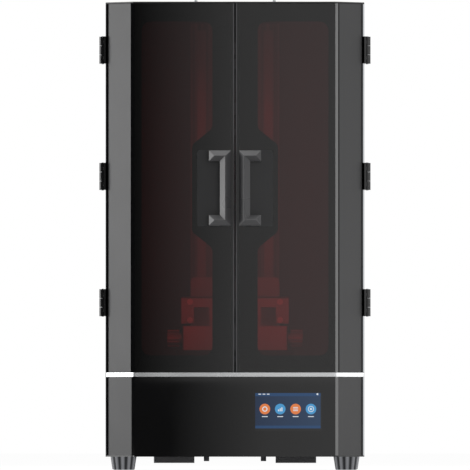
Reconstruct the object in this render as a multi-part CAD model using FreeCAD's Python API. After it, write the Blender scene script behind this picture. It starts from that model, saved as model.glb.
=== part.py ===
import FreeCAD
import Part
import math
import os

from FreeCAD import Vector

# Overall sizes, in millimetres. +X is right, +Y is back and +Z is up, seen from the front.
BODY_WIDTH = 430.0
BODY_DEPTH = 382.0
FOOT_HEIGHT = 22.0
BASE_HEIGHT = 132.8
DECK_THICKNESS = 6.8
TOWER_HEADROOM = 25.4
ROOF_THICKNESS = 2.0
CORNER_DEPTH = 47.0
SPLIT_DEPTH = 66.0

# Sheet metal, front panels and the gaps between them.
SHEET = 2.0
BEND_RADIUS = 6.0
PANEL_THICKNESS = 3.0
PANEL_BEVEL = 2.2
SEAM_GAP = 3.3
DOOR_GAP = 0.8
SPLIT_GAP = 2.6
FLANGE = 16.0
DOOR_RIM = 18.0
SIT = 0.3

# Door windows, measured from the middle of the printer.
WINDOW_INNER = 37.5
WINDOW_OUTER = 155.0
WINDOW_LOW = 28.4
WINDOW_TOP_GAP = 31.0
WINDOW_RADIUS = 15.0
NOTCH_INNER = 71.5
NOTCH_LENGTH = 144.0
NOTCH_SLOPE = 27.5
NOTCH_RADIUS = 12.0

# Pull handles.
HANDLE_CENTRE = 305.7
HANDLE_LENGTH = 124.5
HANDLE_INNER = 6.8
HANDLE_WIDTH = 36.4
GRIP_WIDTH = 18.3
ARM_HEIGHT = 17.5
HANDLE_THICKNESS = 14.0
HANDLE_REACH = 34.0
HANDLE_RIDGE = 8.6
PAD_WIDTH = 55.0
PAD_THICKNESS = 1.2

# Hinges.
HINGE_LOW = 116.4
HINGE_TOP_GAP = 77.0
HINGE_LENGTH = 45.0
BARREL_RADIUS = 5.4
PIN_RADIUS = 2.0
PIN_CLEARANCE = 0.05
PIN_STANDOUT = 0.8
LEAF_THICKNESS = 3.4
LEAF_WIDTH = 19.0
KNUCKLE_GAP = 0.4

# Touch screen.
SCREEN_CENTRE = 88.9
SCREEN_WIDTH = 110.7
SCREEN_HEIGHT = 62.4
SCREEN_LOW = 42.9
SCREEN_GAP = 0.35
MODULE_MARGIN = 5.0
MODULE_DEPTH = 14.0

# Feet, and the fan grilles and bolts under the base.
FOOT_TOP_RADIUS = 21.2
FOOT_BOTTOM_RADIUS = 17.8
FRONT_FOOT_SIDE = 30.3
REAR_FOOT_SIDE = 26.2
FOOT_INSET = 48.0
FAN_SIZE = 67.5
FAN_THICKNESS = 20.0
FAN_BORE = 30.6
FAN_X = 101.5
FAN_DEPTH = 150.0
GRILLE_HEIGHT = 10.5
GRILLE_RING = 3.0
ROTOR_RADIUS = 29.2
HUB_RADIUS = 13.0
BLADES = 7
SHAFT_RADIUS = 2.0
SHAFT_CLEARANCE = 0.06
BASE_BOLT_X = 47.5
BASE_BOLT_RADIUS = 4.4
BASE_BOLT_HEIGHT = 7.5
BASE_BOLT_Y = 40.0
SINK_LEG_RADIUS = 5.0

# Vent slots in the rear panel and in the base's sides.
VENTS = 10
VENT_PITCH = 14.0
VENT_WIDTH = 4.0
VENT_LENGTH = 82.0
VENT_TOP_GAP = 34.0
SIDE_VENTS = 6
SIDE_VENT_GAP = 54.0
SIDE_VENT_LOW = 30.0
SIDE_VENT_LENGTH = 50.0

# Rear of the base.
EXHAUST_SIDE = 75.0
EXHAUST_HEIGHT = 74.0
INLET_SIDE = 75.0
INLET_HEIGHT = 52.0
INLET_WIDTH = 27.0
INLET_TALL = 20.0
INLET_FLANGE = 4.0
INLET_RIM = 3.0
INLET_DEPTH = 26.0
INLET_WALL = 1.6
SWITCH_SIDE = 119.0
SWITCH_WIDTH = 13.0
SWITCH_TALL = 19.0
SWITCH_DEPTH = 18.0
SWITCH_TILT = 7.0
USB_DEPTH = 110.0
USB_HEIGHT = 70.0

# Exposure unit and vat.
VAT_CENTRE = 158.0
LCD_WIDTH = 310.0
LCD_DEPTH = 182.0
LCD_THICKNESS = 3.0
LCD_LEDGE = 7.0
PLATE_WIDTH = 292.0
PLATE_DEPTH = 165.0
PLATE_HEIGHT = 24.6
PLATE_START = 1.4
VAT_MARGIN = 11.0
VAT_WALL = 12.0
VAT_HEIGHT = 27.0
VAT_FOOT = 4.0
FILM_THICKNESS = 0.4
EAR_LENGTH = 22.0
EAR_WIDTH = 40.0
EAR_HEIGHT = 12.0
VAT_KNOB_RADIUS = 10.4
VAT_KNOB_HEIGHT = 18.0
LIGHT_BOX_HEIGHT = 66.0
LED_BOARD = 2.0
SINK_HEIGHT = 36.0
SINK_FINS = 13

# Lift.
TOWER_WIDTH = 149.0
TOWER_REAR_GAP = 12.0
TOWER_DEPTH = 50.0
TOWER_BACK = 10.0
TOWER_SPARE = 27.0
TOWER_CORNER = 3.0
TOWER_WALL = 6.0
TOWER_SLOT = 76.0
RAIL_WIDTH = 15.0
RAIL_HEIGHT = 15.0
RAIL_X = 56.0
BLOCK_WIDTH = 34.0
BLOCK_LENGTH = 50.0
BLOCK_FRONT = 28.0
BLOCK_LIFT = 4.4
SLIDE_GAP = 0.3
CARRIAGE_THICKNESS = 10.0
CARRIAGE_LOW = 39.0
CARRIAGE_HEIGHT = 122.0
SCREW_RADIUS = 6.0
SCREW_CLEARANCE = 0.06
SCREW_SETBACK = 18.0
NUT_SIZE = 44.0
NUT_HEIGHT = 42.0
BEARING_HEIGHT = 22.0
COUPLING_RADIUS = 12.0
COUPLING_HEIGHT = 25.0
MOTOR_SIZE = 57.0
MOTOR_HEIGHT = 56.0
TRAVEL = 400.0

# Electronics at the back of the base, and the door catches.
BOARD_WIDTH = 125.0
BOARD_DEPTH = 86.0
BOARD_THICKNESS = 1.6
BOARD_SIDE = 32.0
STANDOFF_RADIUS = 3.2
STANDOFF_HEIGHT = 12.0
STANDOFF_INSET = 6.0
SUPPLY_WIDTH = 120.0
SUPPLY_DEPTH = 84.0
SUPPLY_HEIGHT = 30.0
SUPPLY_SIDE = 45.0
SUPPLY_GROOVE = 4.0
REAR_CLEARANCE = 12.0
CATCH_WIDTH = 32.0
CATCH_DEPTH = 12.0
CATCH_HEIGHT = 18.0
CATCH_GAP = 0.6

# Build head.
PAD_BLOCK_WIDTH = 196.0
PAD_BLOCK_HEIGHT = 12.0
MOUNT_WIDTH = 176.0
MOUNT_HEIGHT = 40.0
MOUNT_DEPTH = 92.0
ARM_WIDTH = 179.0
ARM_GAP_HEIGHT = 4.6
ARM_LEG_HEIGHT = 27.0
ARM_TOP_HEIGHT = 18.0
ARM_LEG = 21.0
ARM_RIB = 8.0
ARM_RIB_X = 43.0
ARM_DEPTH = 60.0
ARM_BACK = 12.0
ARM_BACK_LOW = 40.0
ARM_RIB_INSET = 22.0
ARM_BOLT_X = 75.0
ARM_FRONT_INSET = 6.0
CLAMP_RADIUS = 15.0
CLAMP_LENGTH = 20.0
STUD_RADIUS = 4.0
STUD_CLEARANCE = 0.3
BOLT_RADIUS = 5.0
BOLT_HEAD = 5.0
COVER_SCREW_X = 65.0
COVER_SCREW_RADIUS = 2.75
COVER_SCREW_HEAD = 3.0

# Components on the control board, as shares of its width, its depth and the standoffs' height:
# start across, start along, width, depth and height.
BOARD_CHIPS = (
    (0.24, 0.23, 0.21, 0.30, 0.67),
    (0.53, 0.21, 0.14, 0.21, 0.25),
    (0.11, 0.65, 0.32, 0.14, 0.83),
    (0.56, 0.60, 0.27, 0.23, 1.00),
)

# Levels and depths that follow from the sizes above.
HALF = BODY_WIDTH / 2
FLAT_HALF = HALF - CORNER_DEPTH
CORNER_SLOPE = (HALF - FLAT_HALF) / CORNER_DEPTH
BASE_Z = FOOT_HEIGHT
FLOOR_Z = BASE_Z + SHEET
DECK_Z = BASE_Z + BASE_HEIGHT
DECK_TOP = DECK_Z + DECK_THICKNESS
TOWER_HEIGHT = CARRIAGE_LOW + CARRIAGE_HEIGHT + TRAVEL + TOWER_SPARE
CABINET_HEIGHT = TOWER_HEIGHT + TOWER_HEADROOM
WINDOW_HEIGHT = CABINET_HEIGHT - WINDOW_LOW - WINDOW_TOP_GAP
HINGE_HIGH = CABINET_HEIGHT - HINGE_TOP_GAP
HINGE_HEIGHTS = (HINGE_LOW, (HINGE_LOW + HINGE_HIGH) / 2, HINGE_HIGH)
ROOF_Z = DECK_TOP + CABINET_HEIGHT
DOOR_LOW = DECK_TOP + DOOR_GAP
DOOR_HIGH = ROOF_Z - DOOR_GAP
DOOR_END = SPLIT_DEPTH - SPLIT_GAP / 2
SIDE_START = SPLIT_DEPTH + SPLIT_GAP / 2
FRONT_Y = HANDLE_REACH - (HANDLE_REACH + BODY_DEPTH + INLET_FLANGE) / 2
HANDLE_Z = DECK_TOP + HANDLE_CENTRE - HANDLE_LENGTH / 2
AXIS_X = HALF + BARREL_RADIUS
FILM_Z = DECK_TOP + SIT
PLATE_Z = DECK_TOP + PLATE_START
PLATE_TOP = PLATE_Z + PLATE_HEIGHT
MOUNT_Z = PLATE_TOP + PAD_BLOCK_HEIGHT
ARM_Z = MOUNT_Z + MOUNT_HEIGHT
TOWER_FRONT = BODY_DEPTH - SHEET - TOWER_REAR_GAP - TOWER_DEPTH
SCREW_DEPTH = TOWER_FRONT + SCREW_SETBACK
CARRIAGE_Z = DECK_TOP + CARRIAGE_LOW
CARRIAGE_BACK = TOWER_FRONT - BLOCK_FRONT
CARRIAGE_FACE = CARRIAGE_BACK - CARRIAGE_THICKNESS
NUT_Z = CARRIAGE_Z + (CARRIAGE_HEIGHT - NUT_HEIGHT) / 2
VAT_INNER_X = PLATE_WIDTH / 2 + VAT_MARGIN
VAT_INNER_Y = PLATE_DEPTH / 2 + VAT_MARGIN
EAR_HOLE_X = VAT_INNER_X + VAT_WALL + EAR_LENGTH / 2
LIGHT_Z = DECK_Z - LIGHT_BOX_HEIGHT
SINK_Z = LIGHT_Z - LED_BOARD - SINK_HEIGHT
FRONT_FEET_X = HALF - FRONT_FOOT_SIDE
REAR_FEET_X = HALF - REAR_FOOT_SIDE
EXHAUST_X = EXHAUST_SIDE - HALF
INLET_X = HALF - INLET_SIDE
SWITCH_X = HALF - SWITCH_SIDE
EXHAUST_Z = BASE_Z + EXHAUST_HEIGHT
INLET_Z = BASE_Z + INLET_HEIGHT
CLAMP_Z = MOUNT_Z + MOUNT_HEIGHT / 2
UP = Vector(0, 0, 1)


def depth(distance):
    """Turns a distance behind the front panels into a Y value."""
    return FRONT_Y + distance


def box(x0, x1, d0, d1, z0, z1):
    """A block between two X values, two depths and two heights."""
    return Part.makeBox(x1 - x0, d1 - d0, z1 - z0, Vector(x0, depth(d0), z0))


def rod(radius, length, x, d, z, axis=UP):
    """A round rod that starts at a point and runs along an axis."""
    return Part.makeCylinder(radius, length, Vector(x, depth(d), z), axis)


def ring(outer, inner, length, x, d, z, axis=UP):
    """A round tube."""
    return rod(outer, length, x, d, z, axis).cut(rod(inner, length, x, d, z, axis))


def corner(before, point, after, radius):
    """The two tangent points and the middle of a rounded corner."""
    a = (before - point).normalize()
    b = (after - point).normalize()
    half_angle = a.getAngle(b) / 2
    reach = radius / math.tan(half_angle)
    centre = point + (a + b).normalize() * (radius / math.sin(half_angle))
    middle = centre + (point - centre).normalize() * radius
    return point + a * reach, middle, point + b * reach


def rounded(points, radii, closed=True):
    """Edges through flat points, with each corner rounded by its own radius."""
    flat = [Vector(x, y, 0) for x, y in points]
    last = len(flat) - 1
    stops = []
    for i, point in enumerate(flat):
        sharp = radii[i] == 0 or (not closed and i in (0, last))
        if sharp:
            stops.append((point, None, point))
        else:
            stops.append(corner(flat[i - 1], point, flat[(i + 1) % len(flat)], radii[i]))
    edges = []
    for i, (start, middle, end) in enumerate(stops):
        if middle is not None:
            edges.append(Part.Arc(start, middle, end).toShape())
        if closed or i < last:
            following = stops[(i + 1) % len(stops)][0]
            if end.distanceToPoint(following) > 1e-6:
                edges.append(Part.makeLine(end, following))
    return edges


def prism(points, radii, z0, z1):
    """A plan outline, given by X and depth, raised between two heights."""
    placed = [(x, depth(d)) for x, d in points]
    face = Part.Face(Part.Wire(Part.__sortEdges__(rounded(placed, radii))))
    face.translate(Vector(0, 0, z0))
    return face.extrude(Vector(0, 0, z1 - z0))


def slab(points, radii, d0, d1):
    """An outline given by X and height, thickened between two depths."""
    face = Part.Face(Part.Wire(Part.__sortEdges__(rounded(points, radii))))
    face.rotate(Vector(0, 0, 0), Vector(1, 0, 0), 90)
    face.translate(Vector(0, depth(d0), 0))
    return face.extrude(Vector(0, d1 - d0, 0))


def slot(x, z0, length, d0, d1):
    """A vent opening with round ends, standing upright in a sheet."""
    half = VENT_WIDTH / 2
    points = [(x - half, z0), (x + half, z0), (x + half, z0 + length), (x - half, z0 + length)]
    return slab(points, [half - 0.1] * 4, d0, d1)


def hexagon(x, y, radius):
    """The six corners of a hexagon about a point."""
    turns = [math.radians(60 * i) for i in range(6)]
    return [(x + radius * math.cos(a), y + radius * math.sin(a)) for a in turns]


def sheet_profile(points, radius, thickness):
    """A closed plan outline of a bent sheet, whose inner face lies right of the path."""
    flat = [Vector(x, depth(d), 0) for x, d in points]
    sides = []
    for a, b in zip(flat, flat[1:]):
        u = (b - a).normalize()
        sides.append(Vector(u.y, -u.x, 0))
    inner = [flat[0] + sides[0] * thickness]
    for point, n, m in zip(flat[1:], sides, sides[1:]):
        inner.append(point + (n + m) * (thickness / (1 + n.dot(m))))
    inner.append(flat[-1] + sides[-1] * thickness)
    outer_radii = [0] + [radius] * (len(flat) - 2) + [0]
    inner_radii = [0] + [radius - thickness] * (len(flat) - 2) + [0]
    edges = rounded([(p.x, p.y) for p in flat], outer_radii, False)
    edges += rounded([(p.x, p.y) for p in inner], inner_radii, False)
    edges.append(Part.makeLine(flat[0], inner[0]))
    edges.append(Part.makeLine(flat[-1], inner[-1]))
    return Part.Face(Part.Wire(Part.__sortEdges__(edges)))


def bent_sheet(points, radius, thickness, z0, z1):
    """A bent sheet of constant plan, standing between two heights."""
    face = sheet_profile(points, radius, thickness)
    face.translate(Vector(0, 0, z0))
    return face.extrude(Vector(0, 0, z1 - z0))


def mirrored(shape):
    """The same piece on the other side of the printer."""
    return shape.mirror(Vector(0, 0, 0), Vector(1, 0, 0))


def both(shape):
    """A piece together with its mirror image."""
    return Part.makeCompound([shape, mirrored(shape)])


def footprint(front, inset, z0, z1):
    """The printer's plan with angled front corners, raised between two heights."""
    shift = inset * math.tan(math.pi / 8)
    front_x = FLAT_HALF + front * CORNER_SLOPE - shift
    side_d = CORNER_DEPTH + shift
    side_x = HALF - inset
    near = front + inset
    far = BODY_DEPTH - inset
    points = [(-front_x, near), (front_x, near), (side_x, side_d)]
    points += [(side_x, far), (-side_x, far), (-side_x, side_d)]
    bend = max(BEND_RADIUS - inset, 1.0)
    return prism(points, [bend, bend, bend, 1.5, 1.5, bend], z0, z1)


def fluted(radius, length, x, d, z, axis, flutes, groove):
    """A hand knob with round grooves along its rim."""
    knob = rod(radius, length, x, d, z, axis)
    side = Vector(0, 0, 1) if abs(axis.z) < 0.5 else Vector(1, 0, 0)
    foot_point = Vector(x, depth(d), z)
    cuts = []
    for i in range(flutes):
        cut = Part.makeCylinder(groove, length, foot_point + side * (radius + groove * 0.45), axis)
        cut.rotate(foot_point, axis, 360.0 * i / flutes)
        cuts.append(cut)
    return knob.cut(cuts)


def base_nodes():
    """The base housing with its floor, front panel, screen and deck."""
    walls = footprint(PANEL_THICKNESS, 0, FLOOR_Z, DECK_Z)
    walls = walls.cut(footprint(PANEL_THICKNESS, SHEET, FLOOR_Z, DECK_Z))
    screen_z = BASE_Z + SCREEN_LOW
    module_x0 = SCREEN_CENTRE - SCREEN_WIDTH / 2 - MODULE_MARGIN
    module_x1 = SCREEN_CENTRE + SCREEN_WIDTH / 2 + MODULE_MARGIN
    module_z0 = screen_z - MODULE_MARGIN
    module_z1 = screen_z + SCREEN_HEIGHT + MODULE_MARGIN
    skin = PANEL_THICKNESS + SHEET
    walls = walls.cut(box(module_x0 - 1, module_x1 + 1, PANEL_THICKNESS, skin, module_z0 - 1, module_z1 + 1))
    back0 = BODY_DEPTH - SHEET
    walls = walls.cut(rod(FAN_BORE, SHEET, EXHAUST_X, back0, EXHAUST_Z, Vector(0, 1, 0)))
    walls = walls.cut(rear_block(INLET_X, INLET_WIDTH, INLET_TALL, SIT, back0, BODY_DEPTH))
    walls = walls.cut(rear_block(SWITCH_X, SWITCH_WIDTH, SWITCH_TALL, SIT, back0, BODY_DEPTH))
    usb_z = BASE_Z + USB_HEIGHT
    walls = walls.cut(box(HALF - SHEET, HALF, USB_DEPTH - 7.6, USB_DEPTH + 7.6, usb_z - 3.9, usb_z + 3.9))
    slots = []
    for i in range(SIDE_VENTS):
        middle = BODY_DEPTH - SIDE_VENT_GAP - i * VENT_PITCH
        opening = slot(middle, BASE_Z + SIDE_VENT_LOW, SIDE_VENT_LENGTH, 0, SHEET)
        opening.rotate(Vector(0, FRONT_Y, 0), UP, 90)
        opening.translate(Vector(HALF, 0, 0))
        slots += [opening, mirrored(opening)]
    walls = walls.cut(slots)

    floor = footprint(PANEL_THICKNESS, 0, BASE_Z, FLOOR_Z)
    for side in (-1, 1):
        floor = floor.cut(rod(FAN_BORE, SHEET, side * FAN_X, FAN_DEPTH, BASE_Z))

    half_back = FLAT_HALF + 1.5
    half_face = half_back - PANEL_BEVEL
    plan = [(-half_face, 0), (half_face, 0), (half_back, PANEL_BEVEL), (half_back, PANEL_THICKNESS)]
    plan += [(-half_back, PANEL_THICKNESS), (-half_back, PANEL_BEVEL)]
    front = prism(plan, [0] * 6, BASE_Z, DECK_Z)
    screen_x0 = SCREEN_CENTRE - SCREEN_WIDTH / 2
    screen_x1 = SCREEN_CENTRE + SCREEN_WIDTH / 2
    hole_x0 = screen_x0 - SCREEN_GAP
    hole_x1 = screen_x1 + SCREEN_GAP
    hole_z0 = screen_z - SCREEN_GAP
    hole_z1 = screen_z + SCREEN_HEIGHT + SCREEN_GAP
    front = front.cut(box(hole_x0, hole_x1, 0, PANEL_THICKNESS, hole_z0, hole_z1))

    glass = box(screen_x0, screen_x1, 0.2, PANEL_THICKNESS, screen_z, screen_z + SCREEN_HEIGHT)
    module = box(module_x0, module_x1, PANEL_THICKNESS, MODULE_DEPTH, module_z0, module_z1)

    deck = footprint(0, 0, DECK_Z, DECK_TOP)
    through_x = LCD_WIDTH / 2 - LCD_LEDGE
    through_y = LCD_DEPTH / 2 - LCD_LEDGE
    deck = deck.cut(around_vat(through_x, through_y, DECK_Z, DECK_TOP))
    deck = deck.cut(around_vat(LCD_WIDTH / 2 + SIT, LCD_DEPTH / 2 + SIT, DECK_TOP - LCD_THICKNESS, DECK_TOP))
    deck = deck.cut(rod(COUPLING_RADIUS + 2, DECK_THICKNESS, 0, SCREW_DEPTH, DECK_Z))
    stud_hole = rod(STUD_RADIUS + STUD_CLEARANCE, DECK_THICKNESS, EAR_HOLE_X, VAT_CENTRE, DECK_Z)
    deck = deck.cut([stud_hole, mirrored(stud_hole)])
    return {
        "base_housing": walls,
        "base_floor": floor,
        "base_front_panel": front,
        "touch_screen": glass.fuse(module).removeSplitter(),
        "deck_plate": deck,
    }


def rear_block(x, width, tall, grow, d0, d1):
    """A block on the rear wall, centred on the inlet's height."""
    half_x = width / 2 + grow
    half_z = tall / 2 + grow
    return box(x - half_x, x + half_x, d0, d1, INLET_Z - half_z, INLET_Z + half_z)


def around_vat(half_x, half_y, z0, z1):
    """A block centred over the exposure screen."""
    return box(-half_x, half_x, VAT_CENTRE - half_y, VAT_CENTRE + half_y, z0, z1)


def cabinet_nodes():
    """The fixed walls above the deck, with the roof, its screws, the seals and the door catches."""
    wall = BODY_DEPTH - SHEET
    path = [(FLANGE - HALF, SIDE_START), (-HALF, SIDE_START), (-HALF, wall), (FLANGE - HALF, wall)]
    left = bent_sheet(path, 3.0, SHEET, DECK_TOP, ROOF_Z)
    rear = box(-HALF, HALF, wall, BODY_DEPTH, DECK_TOP, ROOF_Z)
    vents = []
    for i in range(VENTS):
        x = (i - (VENTS - 1) / 2) * VENT_PITCH
        vents.append(slot(x, ROOF_Z - VENT_TOP_GAP - VENT_LENGTH, VENT_LENGTH, wall, BODY_DEPTH))
    rear = rear.cut(vents)

    roof = footprint(0, 0, ROOF_Z, ROOF_Z + ROOF_THICKNESS)
    screws = []
    for x in (-COVER_SCREW_X, COVER_SCREW_X):
        for d in (12.0, BODY_DEPTH - 12.0):
            screws.append(cap_screw(COVER_SCREW_RADIUS, COVER_SCREW_HEAD, x, d, ROOF_Z + ROOF_THICKNESS))

    edge = HALF - 4
    seal = box(-edge, FLANGE - HALF - 1, DOOR_END + SIT, SIDE_START, DECK_TOP, ROOF_Z)
    catch_d = PANEL_THICKNESS + DOOR_RIM + CATCH_GAP
    catches = []
    for z0 in (DECK_TOP, ROOF_Z - CATCH_HEIGHT):
        half = CATCH_WIDTH / 2
        catch = box(-half, half, catch_d, catch_d + CATCH_DEPTH, z0, z0 + CATCH_HEIGHT)
        catches.append(catch.makeChamfer(2.0, [e for e in catch.Edges if upright(e)]))
    return {
        "left_side_panel": left,
        "right_side_panel": mirrored(left),
        "rear_panel": rear,
        "roof_plate": roof,
        "roof_screws": Part.makeCompound(screws),
        "door_seals": both(seal),
        "door_catches": Part.makeCompound(catches),
    }


def upright(edge):
    """True for a straight edge that stands along Z."""
    a = edge.Vertexes[0].Point
    b = edge.Vertexes[-1].Point
    return len(edge.Vertexes) == 2 and abs(a.x - b.x) + abs(a.y - b.y) < 1e-6


def cap_screw(radius, height, x, d, z):
    """A socket-head screw's head, with its hexagon socket."""
    head = rod(radius, height, x, d, z)
    return head.cut(prism(hexagon(x, d, radius * 0.5), [0] * 6, z + height * 0.5, z + height))


def window_outline():
    """Corner points of the left door's window, with a step around the handle."""
    low = DECK_TOP + WINDOW_LOW
    high = low + WINDOW_HEIGHT
    middle = DECK_TOP + HANDLE_CENTRE
    step0 = middle - NOTCH_LENGTH / 2
    step1 = middle + NOTCH_LENGTH / 2
    points = [
        (-WINDOW_OUTER, low),
        (-WINDOW_INNER, low),
        (-WINDOW_INNER, step0 - NOTCH_SLOPE),
        (-NOTCH_INNER, step0),
        (-NOTCH_INNER, step1),
        (-WINDOW_INNER, step1 + NOTCH_SLOPE),
        (-WINDOW_INNER, high),
        (-WINDOW_OUTER, high),
    ]
    r = WINDOW_RADIUS
    n = NOTCH_RADIUS
    return points, [r, r, n, n, n, n, r, r]


def left_door():
    """The left door's bent frame, window panel, handle, handle pad and hinge leaves."""
    seam = SEAM_GAP / 2
    bend_x = FLAT_HALF + PANEL_THICKNESS * CORNER_SLOPE
    path = [
        (-seam - 1, PANEL_THICKNESS + DOOR_RIM),
        (-seam - 1, PANEL_THICKNESS),
        (-bend_x, PANEL_THICKNESS),
        (-HALF, CORNER_DEPTH),
        (-HALF, DOOR_END),
        (FLANGE - HALF, DOOR_END),
    ]
    frame = bent_sheet(path, BEND_RADIUS / 2, SHEET, DOOR_LOW, DOOR_HIGH)
    points, radii = window_outline()
    frame = frame.cut(slab(points, radii, PANEL_THICKNESS, PANEL_THICKNESS + SHEET))
    rims = []
    for z0 in (DOOR_LOW, DOOR_HIGH - SHEET):
        rims.append(door_rim(bend_x, seam, z0, z0 + SHEET))
    frame = frame.fuse(rims).removeSplitter()

    face = FLAT_HALF + 1.5 - PANEL_BEVEL
    back = FLAT_HALF + 1.5
    edge = 0.9
    plan = [
        (-face, 0),
        (-back, PANEL_BEVEL),
        (-back, PANEL_THICKNESS),
        (-seam, PANEL_THICKNESS),
        (-seam, edge),
        (-seam - edge, 0),
    ]
    window = prism(plan, [0] * 6, DOOR_LOW, DOOR_HIGH)

    pad_x = HANDLE_INNER + 1
    pad_z = HANDLE_Z - 1
    pad_top = HANDLE_Z + HANDLE_LENGTH + 1
    outline = [(-pad_x - PAD_WIDTH, pad_z), (-pad_x, pad_z), (-pad_x, pad_top), (-pad_x - PAD_WIDTH, pad_top)]
    pad = slab(outline, [4.0] * 4, -PAD_THICKNESS, 0)
    return {
        "door_frame": frame,
        "door_window": window,
        "door_handle": handle(),
        "handle_pad": pad,
        "door_hinge_leaves": hinge_set(True),
    }


def door_rim(bend_x, seam, z0, z1):
    """The flat rim that follows the door's plan along its top or bottom edge."""
    in0 = SHEET
    in1 = DOOR_RIM
    mitre = math.tan(math.pi / 8)
    front = PANEL_THICKNESS
    points = [
        (-seam - 1 - in0, front + in0),
        (-bend_x + in0 * mitre, front + in0),
        (-HALF + in0, CORNER_DEPTH + in0 * mitre),
        (-HALF + in0, DOOR_END - in0),
        (-HALF + in1, DOOR_END - in0),
        (-HALF + in1, CORNER_DEPTH + in1 * mitre),
        (-bend_x + in1 * mitre, front + in1),
        (-seam - 1 - in0, front + in1),
    ]
    return prism(points, [0] * 8, z0, z1)


def handle():
    """A C-shaped pull whose front slopes to a ridge, standing on two posts, for the left door."""
    x1 = -HANDLE_INNER
    x0 = x1 - HANDLE_WIDTH
    grip = x1 - GRIP_WIDTH
    z0 = HANDLE_Z
    z1 = HANDLE_Z + HANDLE_LENGTH
    points = [
        (x0, z0),
        (x1, z0),
        (x1, z1),
        (x0, z1),
        (x0, z1 - ARM_HEIGHT),
        (grip, z1 - ARM_HEIGHT),
        (grip, z0 + ARM_HEIGHT),
        (x0, z0 + ARM_HEIGHT),
    ]
    bow = slab(points, [0] * 8, -HANDLE_REACH, HANDLE_THICKNESS - HANDLE_REACH)
    front = depth(-HANDLE_REACH)
    bow = bow.makeChamfer(HANDLE_RIDGE, [e for e in bow.Edges if e.BoundBox.YMax < front + 0.01])
    post = x0 + ARM_HEIGHT
    back = HANDLE_THICKNESS - HANDLE_REACH
    posts = [
        box(x0, post, back, -PAD_THICKNESS, z0, z0 + ARM_HEIGHT),
        box(x0, post, back, -PAD_THICKNESS, z1 - ARM_HEIGHT, z1),
    ]
    return bow.fuse(posts).removeSplitter()


def hinge_leaf(z, door):
    """One leaf of a left-hand hinge: the door's middle knuckle or the frame's outer two."""
    near = BARREL_RADIUS + 1.2
    sign = -1 if door else 1
    d0, d1 = sorted((SPLIT_DEPTH + sign * near, SPLIT_DEPTH + sign * (near + LEAF_WIDTH)))
    x0 = -HALF - LEAF_THICKNESS
    z0 = z - HINGE_LENGTH / 2
    plate = box(x0, -HALF, d0, d1, z0, z0 + HINGE_LENGTH)
    outer = [e for e in plate.Edges if e.BoundBox.XMax < x0 + 0.01]
    plate = plate.makeChamfer(1.0, [e for e in outer if e.BoundBox.ZLength < 0.01])
    third = HINGE_LENGTH / 3
    spans = [(z0 + third + KNUCKLE_GAP / 2, third - KNUCKLE_GAP)]
    if not door:
        spans = [(z0, third - KNUCKLE_GAP / 2), (z0 + 2 * third + KNUCKLE_GAP / 2, third - KNUCKLE_GAP / 2)]
    parts = []
    for low, length in spans:
        parts.append(rod(BARREL_RADIUS - SIT, length, -AXIS_X, SPLIT_DEPTH, low))
        w0, w1 = sorted((SPLIT_DEPTH, SPLIT_DEPTH + sign * (near + 1)))
        parts.append(box(x0, -HALF, w0, w1, low, low + length).cut(clear_side(sign, low, length)))
    leaf = plate.fuse(parts).removeSplitter()
    return leaf.cut(rod(PIN_RADIUS + PIN_CLEARANCE, HINGE_LENGTH, -AXIS_X, SPLIT_DEPTH, z0))


def clear_side(sign, low, length):
    """The part of a knuckle's web that would reach over the gap to the other panel."""
    w0, w1 = sorted((SPLIT_DEPTH, SPLIT_DEPTH + sign * SPLIT_GAP / 2))
    return box(-HALF - SIT, -HALF, w0, w1, low, low + length)


def hinge_set(door):
    """The left side's three hinge leaves for the door or the frame."""
    return Part.makeCompound([hinge_leaf(DECK_TOP + h, door) for h in HINGE_HEIGHTS])


def hinge_pins():
    """The left side's three hinge pins, standing a little out of their knuckles at both ends."""
    pins = []
    for h in HINGE_HEIGHTS:
        z0 = DECK_TOP + h - HINGE_LENGTH / 2 - PIN_STANDOUT
        pins.append(rod(PIN_RADIUS, HINGE_LENGTH + 2 * PIN_STANDOUT, -AXIS_X, SPLIT_DEPTH, z0))
    return Part.makeCompound(pins)


def foot(x, d):
    """A turned, tapered foot with rounded edges."""
    r1 = FOOT_TOP_RADIUS
    r0 = FOOT_BOTTOM_RADIUS
    body = Part.makeCone(r0, r1, FOOT_HEIGHT, Vector(x, depth(d), 0), UP)
    rims = [e for e in body.Edges if len(e.Vertexes) == 1 and e.BoundBox.ZMax < 0.01]
    return body.makeChamfer(1.0, rims)


def under_nodes():
    """Feet and bolts below the base."""
    feet = []
    for side in (-1, 1):
        feet.append(foot(side * FRONT_FEET_X, FOOT_INSET))
        feet.append(foot(side * REAR_FEET_X, BODY_DEPTH - FOOT_INSET))
    bolts = []
    for x in (-BASE_BOLT_X, BASE_BOLT_X):
        for d in (FAN_DEPTH - BASE_BOLT_Y, FAN_DEPTH + BASE_BOLT_Y):
            bolts.append(prism(hexagon(x, d, BASE_BOLT_RADIUS), [0] * 6, BASE_Z - BASE_BOLT_HEIGHT, BASE_Z))
    return {"feet": Part.makeCompound(feet), "heat_sink_bolts": Part.makeCompound(bolts)}


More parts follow.
